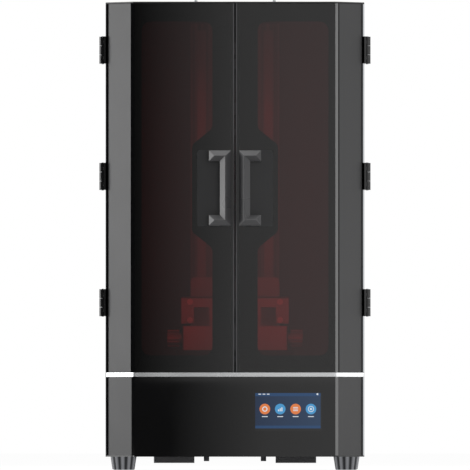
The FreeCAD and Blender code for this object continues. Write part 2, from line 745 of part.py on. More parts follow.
def fan_frame():
    """A square fan frame around Z, sitting on z = 0, with spokes and a shaft stub."""
    h = FAN_SIZE / 2
    body = Part.makeBox(FAN_SIZE, FAN_SIZE, FAN_THICKNESS, Vector(-h, -h, 0))
    body = body.makeFillet(4.0, [e for e in body.Edges if upright(e)])
    body = body.cut(Part.makeCylinder(FAN_BORE, FAN_THICKNESS))
    top = FAN_THICKNESS - 2.5
    spokes = [Part.makeCylinder(HUB_RADIUS, 2.5, Vector(0, 0, top))]
    for turn in (45, 135):
        bar = Part.makeBox(2 * FAN_BORE + 2, 4, 2.5, Vector(-FAN_BORE - 1, -2, top))
        bar.rotate(Vector(0, 0, 0), UP, turn)
        spokes.append(bar)
    spokes.append(Part.makeCylinder(SHAFT_RADIUS, 10, Vector(0, 0, top - 10)))
    return body.fuse(spokes).removeSplitter()


def fan_rotor():
    """A hub with curved, pitched blades and a blind hole for the frame's shaft."""
    top = FAN_THICKNESS - 3.3
    low = 2.5
    hub = Part.makeCylinder(HUB_RADIUS, top - low, Vector(0, 0, low))
    blades = []
    for i in range(BLADES):
        root = blade_section(HUB_RADIUS - 1.5, 38.0, low + 2, top - 1)
        tip = blade_section(ROTOR_RADIUS, 30.0, low + 2, top - 1)
        blade = Part.makeLoft([root, tip], True, True)
        blade.rotate(Vector(0, 0, 0), UP, 360.0 * i / BLADES)
        blades.append(blade)
    reach = Part.makeCylinder(ROTOR_RADIUS, FAN_THICKNESS)
    rotor = hub.fuse(blades).common(reach)
    hole = Part.makeCylinder(SHAFT_RADIUS + SHAFT_CLEARANCE, 11, Vector(0, 0, top - 11))
    return rotor.cut(hole).removeSplitter()


def blade_section(radius, pitch, low, high):
    """A thin closed section across a blade, standing at a radius."""
    tall = high - low
    lean = tall / math.tan(math.radians(pitch)) / 2
    t = 0.9
    corners = [(-lean, low), (-lean + t * 2, low), (lean, high), (lean - t * 2, high)]
    points = [Vector(radius, y, z) for y, z in corners]
    return Part.makePolygon(points + [points[0]])


def grille(height):
    """A round finger guard in a square rim, on z = 0 and growing downwards."""
    h = FAN_SIZE / 2
    rim = Part.makeBox(FAN_SIZE, FAN_SIZE, height, Vector(-h, -h, -height))
    rim = rim.makeFillet(4.0, [e for e in rim.Edges if upright(e)])
    rim = rim.cut(Part.makeCylinder(FAN_BORE, height, Vector(0, 0, -height)))
    thick = min(2.0, height)
    bars = []
    for radius in (11.0, 21.0):
        tube = Part.makeCylinder(radius + 1, thick, Vector(0, 0, -height))
        bars.append(tube.cut(Part.makeCylinder(radius - 1, thick, Vector(0, 0, -height))))
    for turn in (0, 60, 120):
        bar = Part.makeBox(2 * FAN_BORE + 2, 2, thick, Vector(-FAN_BORE - 1, -1, -height))
        bar.rotate(Vector(0, 0, 0), UP, turn)
        bars.append(bar)
    return rim.fuse(bars).removeSplitter()


def placed(shape, x, d, z, facing_back=False):
    """A fan piece moved under the base, or turned to blow out of the rear wall."""
    copy = shape.copy()
    if facing_back:
        copy.rotate(Vector(0, 0, 0), Vector(1, 0, 0), 90)
    copy.translate(Vector(x, depth(d), z))
    return copy


def fan_nodes():
    """Two intake fans on the base floor and one exhaust fan on the rear wall."""
    frame = fan_frame()
    rotor = fan_rotor()
    deep = grille(GRILLE_HEIGHT)
    thin = grille(GRILLE_RING)
    back = BODY_DEPTH - SHEET
    spots = [(-FAN_X, FAN_DEPTH, FLOOR_Z), (FAN_X, FAN_DEPTH, FLOOR_Z)]
    frames = [placed(frame, *spot) for spot in spots]
    frames.append(placed(frame, EXHAUST_X, back, EXHAUST_Z, True))
    guards = [placed(deep, x, d, BASE_Z) for x, d, z in spots]
    guards.append(placed(thin, EXHAUST_X, BODY_DEPTH, EXHAUST_Z, True))
    return {
        "fan_frames": Part.makeCompound(frames),
        "fan_grilles": Part.makeCompound(guards),
        "left_intake_rotor": placed(rotor, *spots[0]),
        "right_intake_rotor": placed(rotor, *spots[1]),
        "exhaust_rotor": placed(rotor, EXHAUST_X, back, EXHAUST_Z, True),
    }


def power_nodes():
    """Mains inlet, rocker switch and USB socket."""
    start = BODY_DEPTH - INLET_DEPTH
    body = rear_block(INLET_X, INLET_WIDTH, INLET_TALL, 0, start, BODY_DEPTH)
    flange = rear_block(INLET_X, INLET_WIDTH, INLET_TALL, INLET_RIM, BODY_DEPTH, BODY_DEPTH + INLET_FLANGE)
    inlet = body.fuse(flange).removeSplitter()
    mouth = BODY_DEPTH + INLET_FLANGE
    pocket = rear_block(INLET_X, INLET_WIDTH, INLET_TALL, -INLET_WALL, mouth - 20, mouth)
    inlet = inlet.cut(pocket)
    pins = []
    for dx, dz in ((-7, -2), (0, 2), (7, -2)):
        x = INLET_X + dx
        z = INLET_Z + dz
        pins.append(box(x - 1, x + 1, mouth - 21, mouth - 6, z - 2, z + 2))
    inlet = inlet.fuse(pins).removeSplitter()

    start = BODY_DEPTH - SWITCH_DEPTH
    case = rear_block(SWITCH_X, SWITCH_WIDTH, SWITCH_TALL, 0, start, BODY_DEPTH)
    lip = rear_block(SWITCH_X, SWITCH_WIDTH, SWITCH_TALL, 1.6, BODY_DEPTH, BODY_DEPTH + 1.6)
    case = case.fuse(lip).removeSplitter()
    wall = 1.2
    case = case.cut(rear_block(SWITCH_X, SWITCH_WIDTH, SWITCH_TALL, -wall, BODY_DEPTH - 8, BODY_DEPTH + 1.6))
    pivot = BODY_DEPTH - 3
    along = Vector(1, 0, 0)
    half_w = SWITCH_WIDTH / 2 - wall
    case = case.fuse(rod(1.0, 2 * half_w, SWITCH_X - half_w, pivot, INLET_Z, along)).removeSplitter()

    tall = SWITCH_TALL / 2 - wall - 1.2
    face = BODY_DEPTH + 2.4
    profile = [(pivot - 2.5, -3), (face, -tall), (face - 1.2, 0), (face, tall), (pivot - 2.5, 3)]
    points = [Vector(SWITCH_X - half_w + SIT, depth(d), INLET_Z + z) for d, z in profile]
    rocker = Part.Face(Part.makePolygon(points + [points[0]])).extrude(Vector(2 * half_w - 2 * SIT, 0, 0))
    rocker = rocker.cut(rod(1.05, 2 * half_w, SWITCH_X - half_w, pivot, INLET_Z, along))
    rocker.rotate(Vector(SWITCH_X, depth(pivot), INLET_Z), along, SWITCH_TILT)

    usb_z = BASE_Z + USB_HEIGHT
    usb = box(HALF - 18, HALF, USB_DEPTH - 7.25, USB_DEPTH + 7.25, usb_z - 3.5, usb_z + 3.5)
    usb = usb.cut(box(HALF - 16, HALF, USB_DEPTH - 6.25, USB_DEPTH + 6.25, usb_z - 2.5, usb_z + 2.5))
    usb = usb.fuse(box(HALF - 17, HALF - 2, USB_DEPTH - 5.5, USB_DEPTH + 5.5, usb_z + 0.3, usb_z + 2.0))
    skin = HALF - SHEET
    for z0 in (usb_z - 6, usb_z + 3.5):
        usb = usb.fuse(box(skin - 3, skin, USB_DEPTH - 12, USB_DEPTH + 12, z0, z0 + 2.5))
    return {
        "power_inlet": inlet,
        "power_switch_case": case,
        "power_switch_rocker": rocker,
        "usb_socket": usb.removeSplitter(),
    }


def exposure_nodes():
    """Exposure screen, light box, light board, heat sink and the resin vat."""
    lcd = around_vat(LCD_WIDTH / 2, LCD_DEPTH / 2, DECK_TOP - LCD_THICKNESS, DECK_TOP)
    wide_x = LCD_WIDTH / 2 - LCD_LEDGE - 1
    wide_y = LCD_DEPTH / 2 - LCD_LEDGE - 1
    slim_x = wide_x * 0.72
    slim_y = wide_y * 0.72
    skin = 2.0
    hopper = frustum(slim_x, slim_y, wide_x, wide_y, LIGHT_Z, DECK_Z)
    hopper = hopper.cut(frustum(slim_x - skin, slim_y - skin, wide_x - skin, wide_y - skin, LIGHT_Z, DECK_Z))
    lip = around_vat(wide_x + 12, wide_y + 12, DECK_Z - 2, DECK_Z)
    lip = lip.cut(around_vat(wide_x - 1, wide_y - 1, DECK_Z - 2, DECK_Z))
    hopper = hopper.fuse(lip).removeSplitter()

    board = around_vat(slim_x + 6, slim_y + 6, LIGHT_Z - LED_BOARD, LIGHT_Z)
    sink = around_vat(slim_x + 6, slim_y + 6, LIGHT_Z - LED_BOARD - 8, LIGHT_Z - LED_BOARD)
    fins = []
    pitch = 2 * (slim_x + 4) / (SINK_FINS - 1)
    for i in range(SINK_FINS):
        x = -slim_x - 4 + i * pitch
        near = VAT_CENTRE - slim_y - 6
        far = VAT_CENTRE + slim_y + 6
        fins.append(box(x - 1.2, x + 1.2, near, far, SINK_Z, LIGHT_Z - LED_BOARD - 8))
    sink = sink.fuse(fins)
    legs = []
    for x in (-BASE_BOLT_X, BASE_BOLT_X):
        for d in (FAN_DEPTH - BASE_BOLT_Y, FAN_DEPTH + BASE_BOLT_Y):
            legs.append(rod(SINK_LEG_RADIUS, LIGHT_Z - LED_BOARD - FLOOR_Z - 6, x, d, FLOOR_Z))
    sink = sink.fuse(legs).removeSplitter()

    outer_x = VAT_INNER_X + VAT_WALL
    outer_y = VAT_INNER_Y + VAT_WALL
    vat = around_vat(outer_x, outer_y, DECK_TOP, DECK_TOP + VAT_HEIGHT)
    vat = vat.makeFillet(14.0, [e for e in vat.Edges if upright(e)])
    inside = around_vat(VAT_INNER_X, VAT_INNER_Y, DECK_TOP, DECK_TOP + VAT_HEIGHT)
    vat = vat.cut(inside)
    ear_end = outer_x + EAR_LENGTH
    ear_near = VAT_CENTRE - EAR_WIDTH / 2
    ear = box(outer_x, ear_end, ear_near, ear_near + EAR_WIDTH, DECK_TOP, DECK_TOP + EAR_HEIGHT)
    ear = ear.makeFillet(6.0, [e for e in ear.Edges if upright(e) and e.BoundBox.XMin > ear_end - 0.01])
    vat = vat.fuse([ear, mirrored(ear)]).removeSplitter()
    ear_hole = rod(STUD_RADIUS + STUD_CLEARANCE, EAR_HEIGHT, EAR_HOLE_X, VAT_CENTRE, DECK_TOP)
    vat = vat.cut([ear_hole, mirrored(ear_hole)])
    film = around_vat(VAT_INNER_X, VAT_INNER_Y, FILM_Z, FILM_Z + FILM_THICKNESS)
    return {
        "lcd_panel": lcd,
        "uv_light_box": hopper,
        "uv_led_board": board,
        "uv_heat_sink": sink,
        "resin_vat": vat,
        "vat_film": film,
        "left_vat_knob": vat_knob(-1),
        "right_vat_knob": vat_knob(1),
    }


def frustum(x0, y0, x1, y1, z0, z1):
    """A four-sided hopper centred under the exposure screen."""
    wires = []
    for hx, hy, z in ((x0, y0, z0), (x1, y1, z1)):
        near = depth(VAT_CENTRE - hy)
        far = depth(VAT_CENTRE + hy)
        points = [Vector(-hx, near, z), Vector(hx, near, z), Vector(hx, far, z), Vector(-hx, far, z)]
        wires.append(Part.makePolygon(points + [points[0]]))
    return Part.makeLoft(wires, True, True)


def vat_knob(side):
    """A fluted thumb screw that clamps one ear of the vat to the deck."""
    x = side * EAR_HOLE_X
    top = DECK_TOP + EAR_HEIGHT
    knob = fluted(VAT_KNOB_RADIUS, VAT_KNOB_HEIGHT, x, VAT_CENTRE, top, UP, 8, 2.2)
    stud = rod(STUD_RADIUS, EAR_HEIGHT + DECK_THICKNESS, x, VAT_CENTRE, top - EAR_HEIGHT - DECK_THICKNESS)
    return knob.fuse(stud).removeSplitter()


def lift_nodes():
    """Tower, rails, bearings, motor and lead screw."""
    w = TOWER_WIDTH / 2
    s = TOWER_SLOT / 2
    back = TOWER_FRONT + TOWER_DEPTH
    tower_top = DECK_TOP + TOWER_HEIGHT
    slot_back = back - TOWER_BACK
    plan = [(-w, TOWER_FRONT), (-s, TOWER_FRONT), (-s, slot_back), (s, slot_back)]
    plan += [(s, TOWER_FRONT), (w, TOWER_FRONT), (w, back), (-w, back)]
    r = TOWER_CORNER
    tower = prism(plan, [0, 0, r, r, 0, 0, 0, 0], DECK_TOP, tower_top)
    hollow_d0 = TOWER_FRONT + TOWER_WALL
    hollow_d1 = back - TOWER_WALL
    cuts = [box(s + TOWER_WALL, w - 2 * TOWER_WALL, hollow_d0, hollow_d1, DECK_TOP, tower_top)]
    for d in (TOWER_FRONT + 14, TOWER_FRONT + 34):
        cuts.append(box(w - TOWER_WALL, w, d - 4, d + 4, DECK_TOP, tower_top))
    tower = tower.cut(cuts + [mirrored(c) for c in cuts])
    rail_top = TOWER_HEIGHT - 12
    notch = 2.5
    r = RAIL_WIDTH / 2
    front = TOWER_FRONT - RAIL_HEIGHT
    section = [(r, front), (r, front + 4), (r - notch, front + 6), (r - notch, front + 9)]
    section += [(r, front + 11), (r, TOWER_FRONT)]
    section += [(-x, d) for x, d in reversed(section)]
    rails = []
    for x in (-RAIL_X, RAIL_X):
        rails.append(prism([(x + a, d) for a, d in section], [0] * 12, DECK_TOP + 6, DECK_TOP + rail_top))

    bearings = []
    for z0 in (DECK_TOP, DECK_TOP + TOWER_HEIGHT - BEARING_HEIGHT - 10):
        outline = [(-s, SCREW_DEPTH - 14), (s, SCREW_DEPTH - 14), (s, slot_back), (-s, slot_back)]
        block = prism(outline, [0, 0, TOWER_CORNER + 1, TOWER_CORNER + 1], z0, z0 + BEARING_HEIGHT)
        bearings.append(block.cut(rod(SCREW_RADIUS + SCREW_CLEARANCE, BEARING_HEIGHT, 0, SCREW_DEPTH, z0)))

    motor_top = DECK_Z - COUPLING_HEIGHT - 6
    h = MOTOR_SIZE / 2
    motor = box(-h, h, SCREW_DEPTH - h, SCREW_DEPTH + h, motor_top - MOTOR_HEIGHT, motor_top)
    motor = motor.makeChamfer(5.0, [e for e in motor.Edges if upright(e)])
    motor = motor.cut(rod(SCREW_RADIUS + 1, 24, 0, SCREW_DEPTH, motor_top - 24))
    posts = []
    for x in (-22, 22):
        for d in (-22, 22):
            posts.append(rod(4, DECK_Z - motor_top, x, SCREW_DEPTH + d, motor_top))
    motor = motor.fuse(posts).removeSplitter()

    screw_low = motor_top - 20
    screw_high = DECK_TOP + TOWER_HEIGHT - 6
    screw = rod(SCREW_RADIUS, screw_high - screw_low, 0, SCREW_DEPTH, screw_low)
    bore = SCREW_RADIUS + SCREW_CLEARANCE
    coupling = ring(COUPLING_RADIUS, bore, COUPLING_HEIGHT, 0, SCREW_DEPTH, motor_top + 3)
    return {
        "z_tower": tower,
        "z_rails": Part.makeCompound(rails),
        "z_bearings": Part.makeCompound(bearings),
        "z_motor": motor,
        "lead_screw": screw,
        "motor_coupling": coupling,
    }


def head_nodes():
    """The carriage on the rails, the arm and the build plate with its clamp knobs."""
    w = TOWER_WIDTH / 2
    plate = box(-w, w, CARRIAGE_FACE, CARRIAGE_BACK, CARRIAGE_Z, CARRIAGE_Z + CARRIAGE_HEIGHT)
    plate = plate.makeFillet(8.0, [e for e in plate.Edges if e.BoundBox.YLength > CARRIAGE_THICKNESS - 0.01])
    blocks = []
    gap = RAIL_WIDTH / 2 + SLIDE_GAP
    half = BLOCK_WIDTH / 2
    for x in (-RAIL_X, RAIL_X):
        for z0 in (CARRIAGE_Z + 5, CARRIAGE_Z + CARRIAGE_HEIGHT - BLOCK_LENGTH - 5):
            z1 = z0 + BLOCK_LENGTH
            rail_face = TOWER_FRONT - RAIL_HEIGHT - SLIDE_GAP
            body = box(x - half, x + half, CARRIAGE_BACK, TOWER_FRONT - BLOCK_LIFT, z0, z1)
            blocks.append(body.cut(box(x - gap, x + gap, rail_face, TOWER_FRONT, z0, z1)))
    n = NUT_SIZE / 2
    nut = box(-n, n, CARRIAGE_BACK, SCREW_DEPTH + n - 4, NUT_Z, NUT_Z + NUT_HEIGHT)
    nut = nut.cut(rod(SCREW_RADIUS + SCREW_CLEARANCE, NUT_HEIGHT, 0, SCREW_DEPTH, NUT_Z))

    build = around_vat(PLATE_WIDTH / 2, PLATE_DEPTH / 2, PLATE_Z, PLATE_TOP)
    build = build.makeChamfer(4.0, [e for e in build.Edges if e.BoundBox.ZMin > PLATE_TOP - 0.01])
    pad = around_vat(PAD_BLOCK_WIDTH / 2, MOUNT_DEPTH / 2 + 6, PLATE_TOP, MOUNT_Z)
    mount = around_vat(MOUNT_WIDTH / 2, MOUNT_DEPTH / 2, MOUNT_Z, ARM_Z)
    mount = mount.makeFillet(3.0, [e for e in mount.Edges if upright(e)])
    for side in (-1, 1):
        start = side * (MOUNT_WIDTH / 2 - 24)
        x = min(start, side * MOUNT_WIDTH / 2)
        mount = mount.cut(rod(STUD_RADIUS + STUD_CLEARANCE, 24, x, VAT_CENTRE, CLAMP_Z, Vector(1, 0, 0)))

    a = ARM_WIDTH / 2
    front = VAT_CENTRE - ARM_FRONT_INSET
    rib_back = front + ARM_DEPTH - ARM_RIB_INSET
    leg_z = ARM_Z + ARM_GAP_HEIGHT
    top_z = leg_z + ARM_LEG_HEIGHT
    arm_top = top_z + ARM_TOP_HEIGHT
    arm = box(-a, a, front, CARRIAGE_FACE, top_z, arm_top)
    parts = [box(-ARM_RIB_X, ARM_RIB_X, front, rib_back, ARM_Z, leg_z)]
    for side in (-1, 1):
        x0, x1 = sorted((side * a, side * (a - ARM_LEG)))
        parts.append(box(x0, x1, front, front + ARM_DEPTH, leg_z, top_z))
        x0, x1 = sorted((side * ARM_RIB_X, side * (ARM_RIB_X - ARM_RIB)))
        parts.append(box(x0, x1, front, rib_back, leg_z, top_z))
    parts.append(box(-w, w, CARRIAGE_FACE - ARM_BACK, CARRIAGE_FACE, CARRIAGE_Z + ARM_BACK_LOW, top_z))
    arm = arm.fuse(parts).removeSplitter()
    top_edges = [e for e in arm.Edges if e.BoundBox.ZMin > arm_top - 0.01]
    arm = arm.makeChamfer(3.0, [e for e in top_edges if e.BoundBox.YMax < depth(front) + 0.01])

    bolts = []
    for x in (-ARM_BOLT_X, ARM_BOLT_X):
        for z in (top_z + ARM_TOP_HEIGHT / 2, leg_z + 5.5):
            bolts.append(front_bolt(x, front, z))
    return {
        "z_carriage": plate,
        "rail_blocks": Part.makeCompound(blocks),
        "screw_nut": nut,
        "build_arm": arm,
        "arm_bolts": Part.makeCompound(bolts),
        "platform_mount": mount.fuse(pad).removeSplitter(),
        "build_plate": build,
        "left_clamp_knob": clamp_knob(-1),
        "right_clamp_knob": clamp_knob(1),
    }


def front_bolt(x, d, z):
    """A socket-head bolt's head on a front face."""
    head = rod(BOLT_RADIUS, BOLT_HEAD, x, d - BOLT_HEAD, z, Vector(0, 1, 0))
    socket = hexagon(x, z, BOLT_RADIUS / 2)
    return head.cut(slab(socket, [0] * 6, d - BOLT_HEAD, d - BOLT_HEAD / 2))


def clamp_knob(side):
    """A fluted clamp knob with a collar, on a stud in the side of the platform mount."""
    axis = Vector(side, 0, 0)
    start = side * (MOUNT_WIDTH / 2 + SIT)
    collar = rod(CLAMP_RADIUS * 0.62, 4.5, start, VAT_CENTRE, CLAMP_Z, axis)
    grip_x = start + side * 4.5
    grip = fluted(CLAMP_RADIUS, CLAMP_LENGTH, grip_x, VAT_CENTRE, CLAMP_Z, axis, 10, 2.4)
    stud = rod(STUD_RADIUS, 22, side * (MOUNT_WIDTH / 2 - 21.5), VAT_CENTRE, CLAMP_Z, axis)
    return collar.fuse([grip, stud]).removeSplitter()


def electronics_nodes():
    """Control board on standoffs and the boxed power supply, at the back of the base."""
    back = BODY_DEPTH - SHEET - FAN_THICKNESS - REAR_CLEARANCE
    front = back - BOARD_DEPTH
    x0 = BOARD_SIDE - HALF
    z0 = FLOOR_Z + STANDOFF_HEIGHT
    z1 = z0 + BOARD_THICKNESS
    board = box(x0, x0 + BOARD_WIDTH, front, back, z0, z1)
    parts = []
    for x in (x0 + STANDOFF_INSET, x0 + BOARD_WIDTH - STANDOFF_INSET):
        for d in (front + STANDOFF_INSET, back - STANDOFF_INSET):
            parts.append(rod(STANDOFF_RADIUS, STANDOFF_HEIGHT, x, d, FLOOR_Z))
    for across, along, wide, deep, tall in BOARD_CHIPS:
        x = x0 + across * BOARD_WIDTH
        d = front + along * BOARD_DEPTH
        chip_top = z1 + tall * STANDOFF_HEIGHT
        parts.append(box(x, x + wide * BOARD_WIDTH, d, d + deep * BOARD_DEPTH, z1, chip_top))
    board = board.fuse(parts).removeSplitter()

    x1 = HALF - SUPPLY_SIDE
    x0 = x1 - SUPPLY_WIDTH
    top = FLOOR_Z + SUPPLY_HEIGHT
    near = back - SUPPLY_DEPTH
    supply = box(x0, x1, near, back, FLOOR_Z, top)
    grooves = []
    for i in range(8):
        x = x0 + SUPPLY_WIDTH * (i + 1) / 9
        start = x - SUPPLY_GROOVE / 2
        grooves.append(box(start, start + SUPPLY_GROOVE, near + 10, back - 10, top - SUPPLY_GROOVE / 2, top))
    return {"control_board": board, "power_supply": supply.cut(grooves)}


def main():
    """Builds every node and writes one file for each."""
    nodes = {}
    for group in (
        base_nodes, cabinet_nodes, under_nodes, fan_nodes, power_nodes,
        exposure_nodes, lift_nodes, head_nodes, electronics_nodes,
    ):
        nodes.update(group())
    for name, shape in left_door().items():
        nodes["left_" + name] = shape
        nodes["right_" + name] = mirrored(shape)
    nodes["hinge_frame_leaves"] = both(hinge_set(False))
    nodes["hinge_pins"] = both(hinge_pins())
    os.makedirs("parts", exist_ok=True)
    for name, shape in nodes.items():
        shape.exportStep("parts/" + name + ".step")


main()
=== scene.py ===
import math

import bpy
import numpy as np
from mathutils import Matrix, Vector


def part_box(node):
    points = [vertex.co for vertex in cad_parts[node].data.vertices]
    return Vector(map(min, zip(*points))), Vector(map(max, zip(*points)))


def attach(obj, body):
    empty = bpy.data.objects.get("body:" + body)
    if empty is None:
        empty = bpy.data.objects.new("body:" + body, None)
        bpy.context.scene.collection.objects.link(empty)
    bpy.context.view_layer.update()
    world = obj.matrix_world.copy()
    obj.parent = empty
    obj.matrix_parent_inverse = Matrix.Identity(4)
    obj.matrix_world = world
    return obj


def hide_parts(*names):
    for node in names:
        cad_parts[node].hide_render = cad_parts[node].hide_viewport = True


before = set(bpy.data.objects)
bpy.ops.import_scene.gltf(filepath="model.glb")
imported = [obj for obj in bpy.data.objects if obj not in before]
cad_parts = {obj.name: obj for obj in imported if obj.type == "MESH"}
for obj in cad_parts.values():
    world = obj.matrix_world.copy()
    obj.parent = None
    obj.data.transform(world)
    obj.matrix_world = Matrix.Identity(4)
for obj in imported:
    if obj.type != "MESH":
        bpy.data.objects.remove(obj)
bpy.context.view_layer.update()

bl_info = {
    "name": "Resin printer looks",
    "version": (1, 0, 0),
    "blender": (4, 5, 0),
    "location": "3D View > Sidebar > Resin printer",
    "description": "Finishes, screen picture, thread and screws for a tall resin printer, with its studio",
    "category": "Object",
}

MM = 0.001
WHITE = (1.0, 1.0, 1.0, 1.0)
# How far behind the door sheet's front face the black print reaches, through the sheet's thickness.
PRINT_DEPTH = 2.05 * MM
# Plain ends of the lead screw: length of the upper one, and how much thinner than the thread both are.
JOURNAL_LENGTH, JOURNAL_STEP = 12 * MM, 0.2 * MM
# Rear screws: rows, and how far they sit from the rear panel's upper, lower and side edges.
REAR_ROWS, REAR_END, REAR_SIDE = 6, 20 * MM, 8 * MM
# Rail screws: height of the rim over the rail, and of the recess in the head.
RAIL_RIM, RAIL_RECESS = 0.2 * MM, 0.06 * MM
# The studio, in metres: floor, mirrored card, dark walls, and each lamp's place and size.
FLOOR_REACH, FLOOR_SHARE, FLOOR_GLOW = 20.0, 0.8, 1.15
CARD_REACH, CARD_FRONT, WALL_SPAN = 3.0, 2.4, (0.002, 1.6)
FLAG_PATHS = {
    "front_flag": [(-3.0, -2.4), (-3.0, -1.1)],
    "rear_flag": [(-3.0, 0.7), (-3.0, 3.0), (-0.8, 3.0)],
}
LAMP_AIM = (0.0, 0.0, 0.4)
FREE_LAMPS = {
    "left": ((-2.1, -0.2, 0.52), (1.2, 1.6)),
    "right": ((1.9, -1.1, 0.6), (0.26, 1.2)),
    "top": ((0.0, 0.3, 2.4), (1.6, 1.6)),
}
STRIP_PLACE, STRIP_AIM, STRIP_SIZE = Vector((2.2, -0.15, 0.0)), Vector((0.2, -0.15, 0.0)), (1.2, 0.2)
CHAMBER_PLACE, CHAMBER_SIZE = Vector((0.0, 40 * MM, 0.42)), (0.3, 0.46)
CLIP_END = 100.0


def node_box(name):
    """Lowest and highest corner of a CAD node, as two arrays in metres."""
    low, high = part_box(name)
    return np.array(low), np.array(high)


def linear(text):
    """sRGB hex text as a linear RGBA colour."""
    parts = [int(text[i : i + 2], 16) / 255 for i in (1, 3, 5)]
    return tuple(c / 12.92 if c <= 0.04045 else ((c + 0.055) / 1.055) ** 2.4 for c in parts) + (1.0,)


def colour(name, text, default):
    """A colour property whose default is given as sRGB hex text."""
    settings = {"subtype": "COLOR", "size": 4, "min": 0.0, "max": 1.0}
    return bpy.props.FloatVectorProperty(name=name, description=text, default=linear(default), **settings)


def length(name, text, default):
    """A length property in metres, shown in scene units."""
    return bpy.props.FloatProperty(name=name, description=text, default=default, unit="LENGTH", precision=5)


def power(name, text, default):
    """A lamp's power in watts."""
    return bpy.props.FloatProperty(name=name, description=text, default=default, min=0.0, unit="POWER")


def level(name, text, default):
    """A brightness, where 1 is white."""
    return bpy.props.FloatProperty(name=name, description=text, default=default, min=0.0)


class PrinterFinish(bpy.types.PropertyGroup):
    """Colours of the printer's finishes, and the height of the two-tone one."""

    band_paint: colour("Band paint", "Powder coat of the angled corners, sides and roof", "#353536")
    # The same black also colours the dull strips of painted shade along the outer corners.
    back_print: colour("Back print", "Black print behind the door panels' borders", "#050506")
    front_panel: colour("Front panel", "Polished acrylic of the base front", "#050506")
    window_tint: colour("Window tint", "What one face of the tinted door panel lets through", "#C46C6B")
    moulded_black: colour("Moulded black", "Grained plastic of fans, inlet and catches", "#1B1B1D")
    handle_black: colour("Handle black", "Satin plastic of the pull handles", "#3A3A3C")
    pad_black: colour("Pad black", "Grained plastic of the pads behind the handles", "#151517")
    seam_highlight: colour("Seam edge", "Sanded edges of the door panels beside the seam", "#636365")
    anodised: colour("Anodised metal", "Bead-blasted aluminium of the lift and the build head", "#A9ABAE")
    polished: colour("Polished metal", "Edge of the deck plate", "#C4C5C6")
    tower: colour("Tower metal", "Dark-anodised extrusion of the lift's tower", "#77787C")
    pad_height: length("Pad height", "Height of the black pad under the build head's mount", 12.0 * MM)
    steel: colour("Ground steel", "Screw, bolts and blocks", "#B9BBBE")
    zinc: colour("Zinc", "Plated bolts of the build arm", "#F2F2F3")
    rail: colour("Rail steel", "Hardened rails", "#8C8E92")
    oxide: colour("Black oxide", "Hinge screws and heat-sink bolts", "#333335")
    enamel: colour("Enamel", "Hinges, motor and the base's floor", "#0C0C0D")
    bearing: colour("Black anodise", "Bearing blocks and the pad under the build head", "#1C1C1F")
    fan_grey: colour("Fan grey", "Frames and guards of the fans", "#5C5C5E")
    # Painted highlight: this grey stands in for light caught on the bevelled panel edges beside the seam.
    edge_black: colour("Bead black", "Beads on the front corners", "#0B0B0C")
    glass: colour("Display glass", "Glass over the displays", "#07080A")
    film: colour("Film", "What the vat's film lets through", "#E4E8EA")
    foot_metal: colour("Foot metal", "Turned feet", "#6C6D70")
    rubber: colour("Rubber", "Door seals and seam lips", "#38383A")
    board: colour("Circuit board", "Solder mask of the control board", "#0E4A2C")


class PrinterScreen(bpy.types.PropertyGroup):
    """Colours and sizes of the screen picture."""

    ground: colour("Ground", "Dark blue of the screen picture at its left", "#03203E")
    ground_right: colour("Ground right", "Dark blue of the screen picture at its right", "#10304F")
    header: colour("Header", "Bars along the top and the bottom of the picture", "#0E3A63")
    warm: colour("Warm icon", "Orange of every other round icon", "#D9773A")
    cool: colour("Cool icon", "Blue of the icons in between", "#3C8FC4")
    glyph: colour("Glyph", "Pale marks in the icons", "#E8EEF5")
    left: length("Left", "Where the picture starts across the front", 33.5 * MM)
    width: length("Width", "Width of the picture", 108.5 * MM)
    bottom: length("Bottom", "Height of the picture's lower edge above the floor", 69.0 * MM)
    height: length("Height", "Height of the picture", 60.0 * MM)
    bar_height: length("Bar height", "Height of the bar along the top", 6.5 * MM)
    icon_radius: length("Icon radius", "Radius of the round icons", 8.8 * MM)
    lift: length("Lift", "How far the picture stands before the glass", 0.06 * MM)


class PrinterThread(bpy.types.PropertyGroup):
    """Sizes of the lead screw's thread."""

    lead: length("Lead", "Travel of the nut for one turn", 10.0 * MM)
    starts: bpy.props.IntProperty(name="Starts", description="Threads side by side", default=2, min=1)
    groove: length("Groove", "Depth of the thread", 0.9 * MM)


class PrinterFasteners(bpy.types.PropertyGroup):
    """Sizes of the small screws."""

    hinge_head: length("Hinge screw head", "Radius of the hinge screws", 2.7 * MM)
    hinge_rise: length("Hinge screw rise", "How far the hinge screws stand out", 0.5 * MM)
    hinge_length: length("Hinge length", "Height of one hinge", 45.0 * MM)
    hinge_spread: length("Hinge spread", "From a hinge's middle to its screws", 13.0 * MM)
    leaf_thickness: length("Leaf thickness", "Thickness of a hinge leaf", 3.4 * MM)
    leaf_middle: length("Leaf middle", "From the hinge axis to the middle of a leaf", 16.5 * MM)
    panel_rise: length("Panel screw rise", "How far the rear screws stand out", 1.6 * MM)
    rail_width: length("Rail width", "Width of a rail", 15.0 * MM)
    panel_head: length("Panel screw head", "Radius of the pan-head screws on the rear", 3.0 * MM)
    rail_head: length("Rail screw head", "Radius of the screws sunk in the rails", 3.6 * MM)
    rail_pitch: length("Rail pitch", "Distance between the rail screws", 60.0 * MM)


class PrinterLips(bpy.types.PropertyGroup):
    """Sizes of the rubber lips that close the seam between the doors."""

    gap: length("Gap", "Half the slit left between the two lips", 0.15 * MM)
    radius: length("Radius", "Radius of a lip's round nose", 1.1 * MM)
    setback: length("Setback", "From the door frame's front to the middle of a lip", 4.0 * MM)


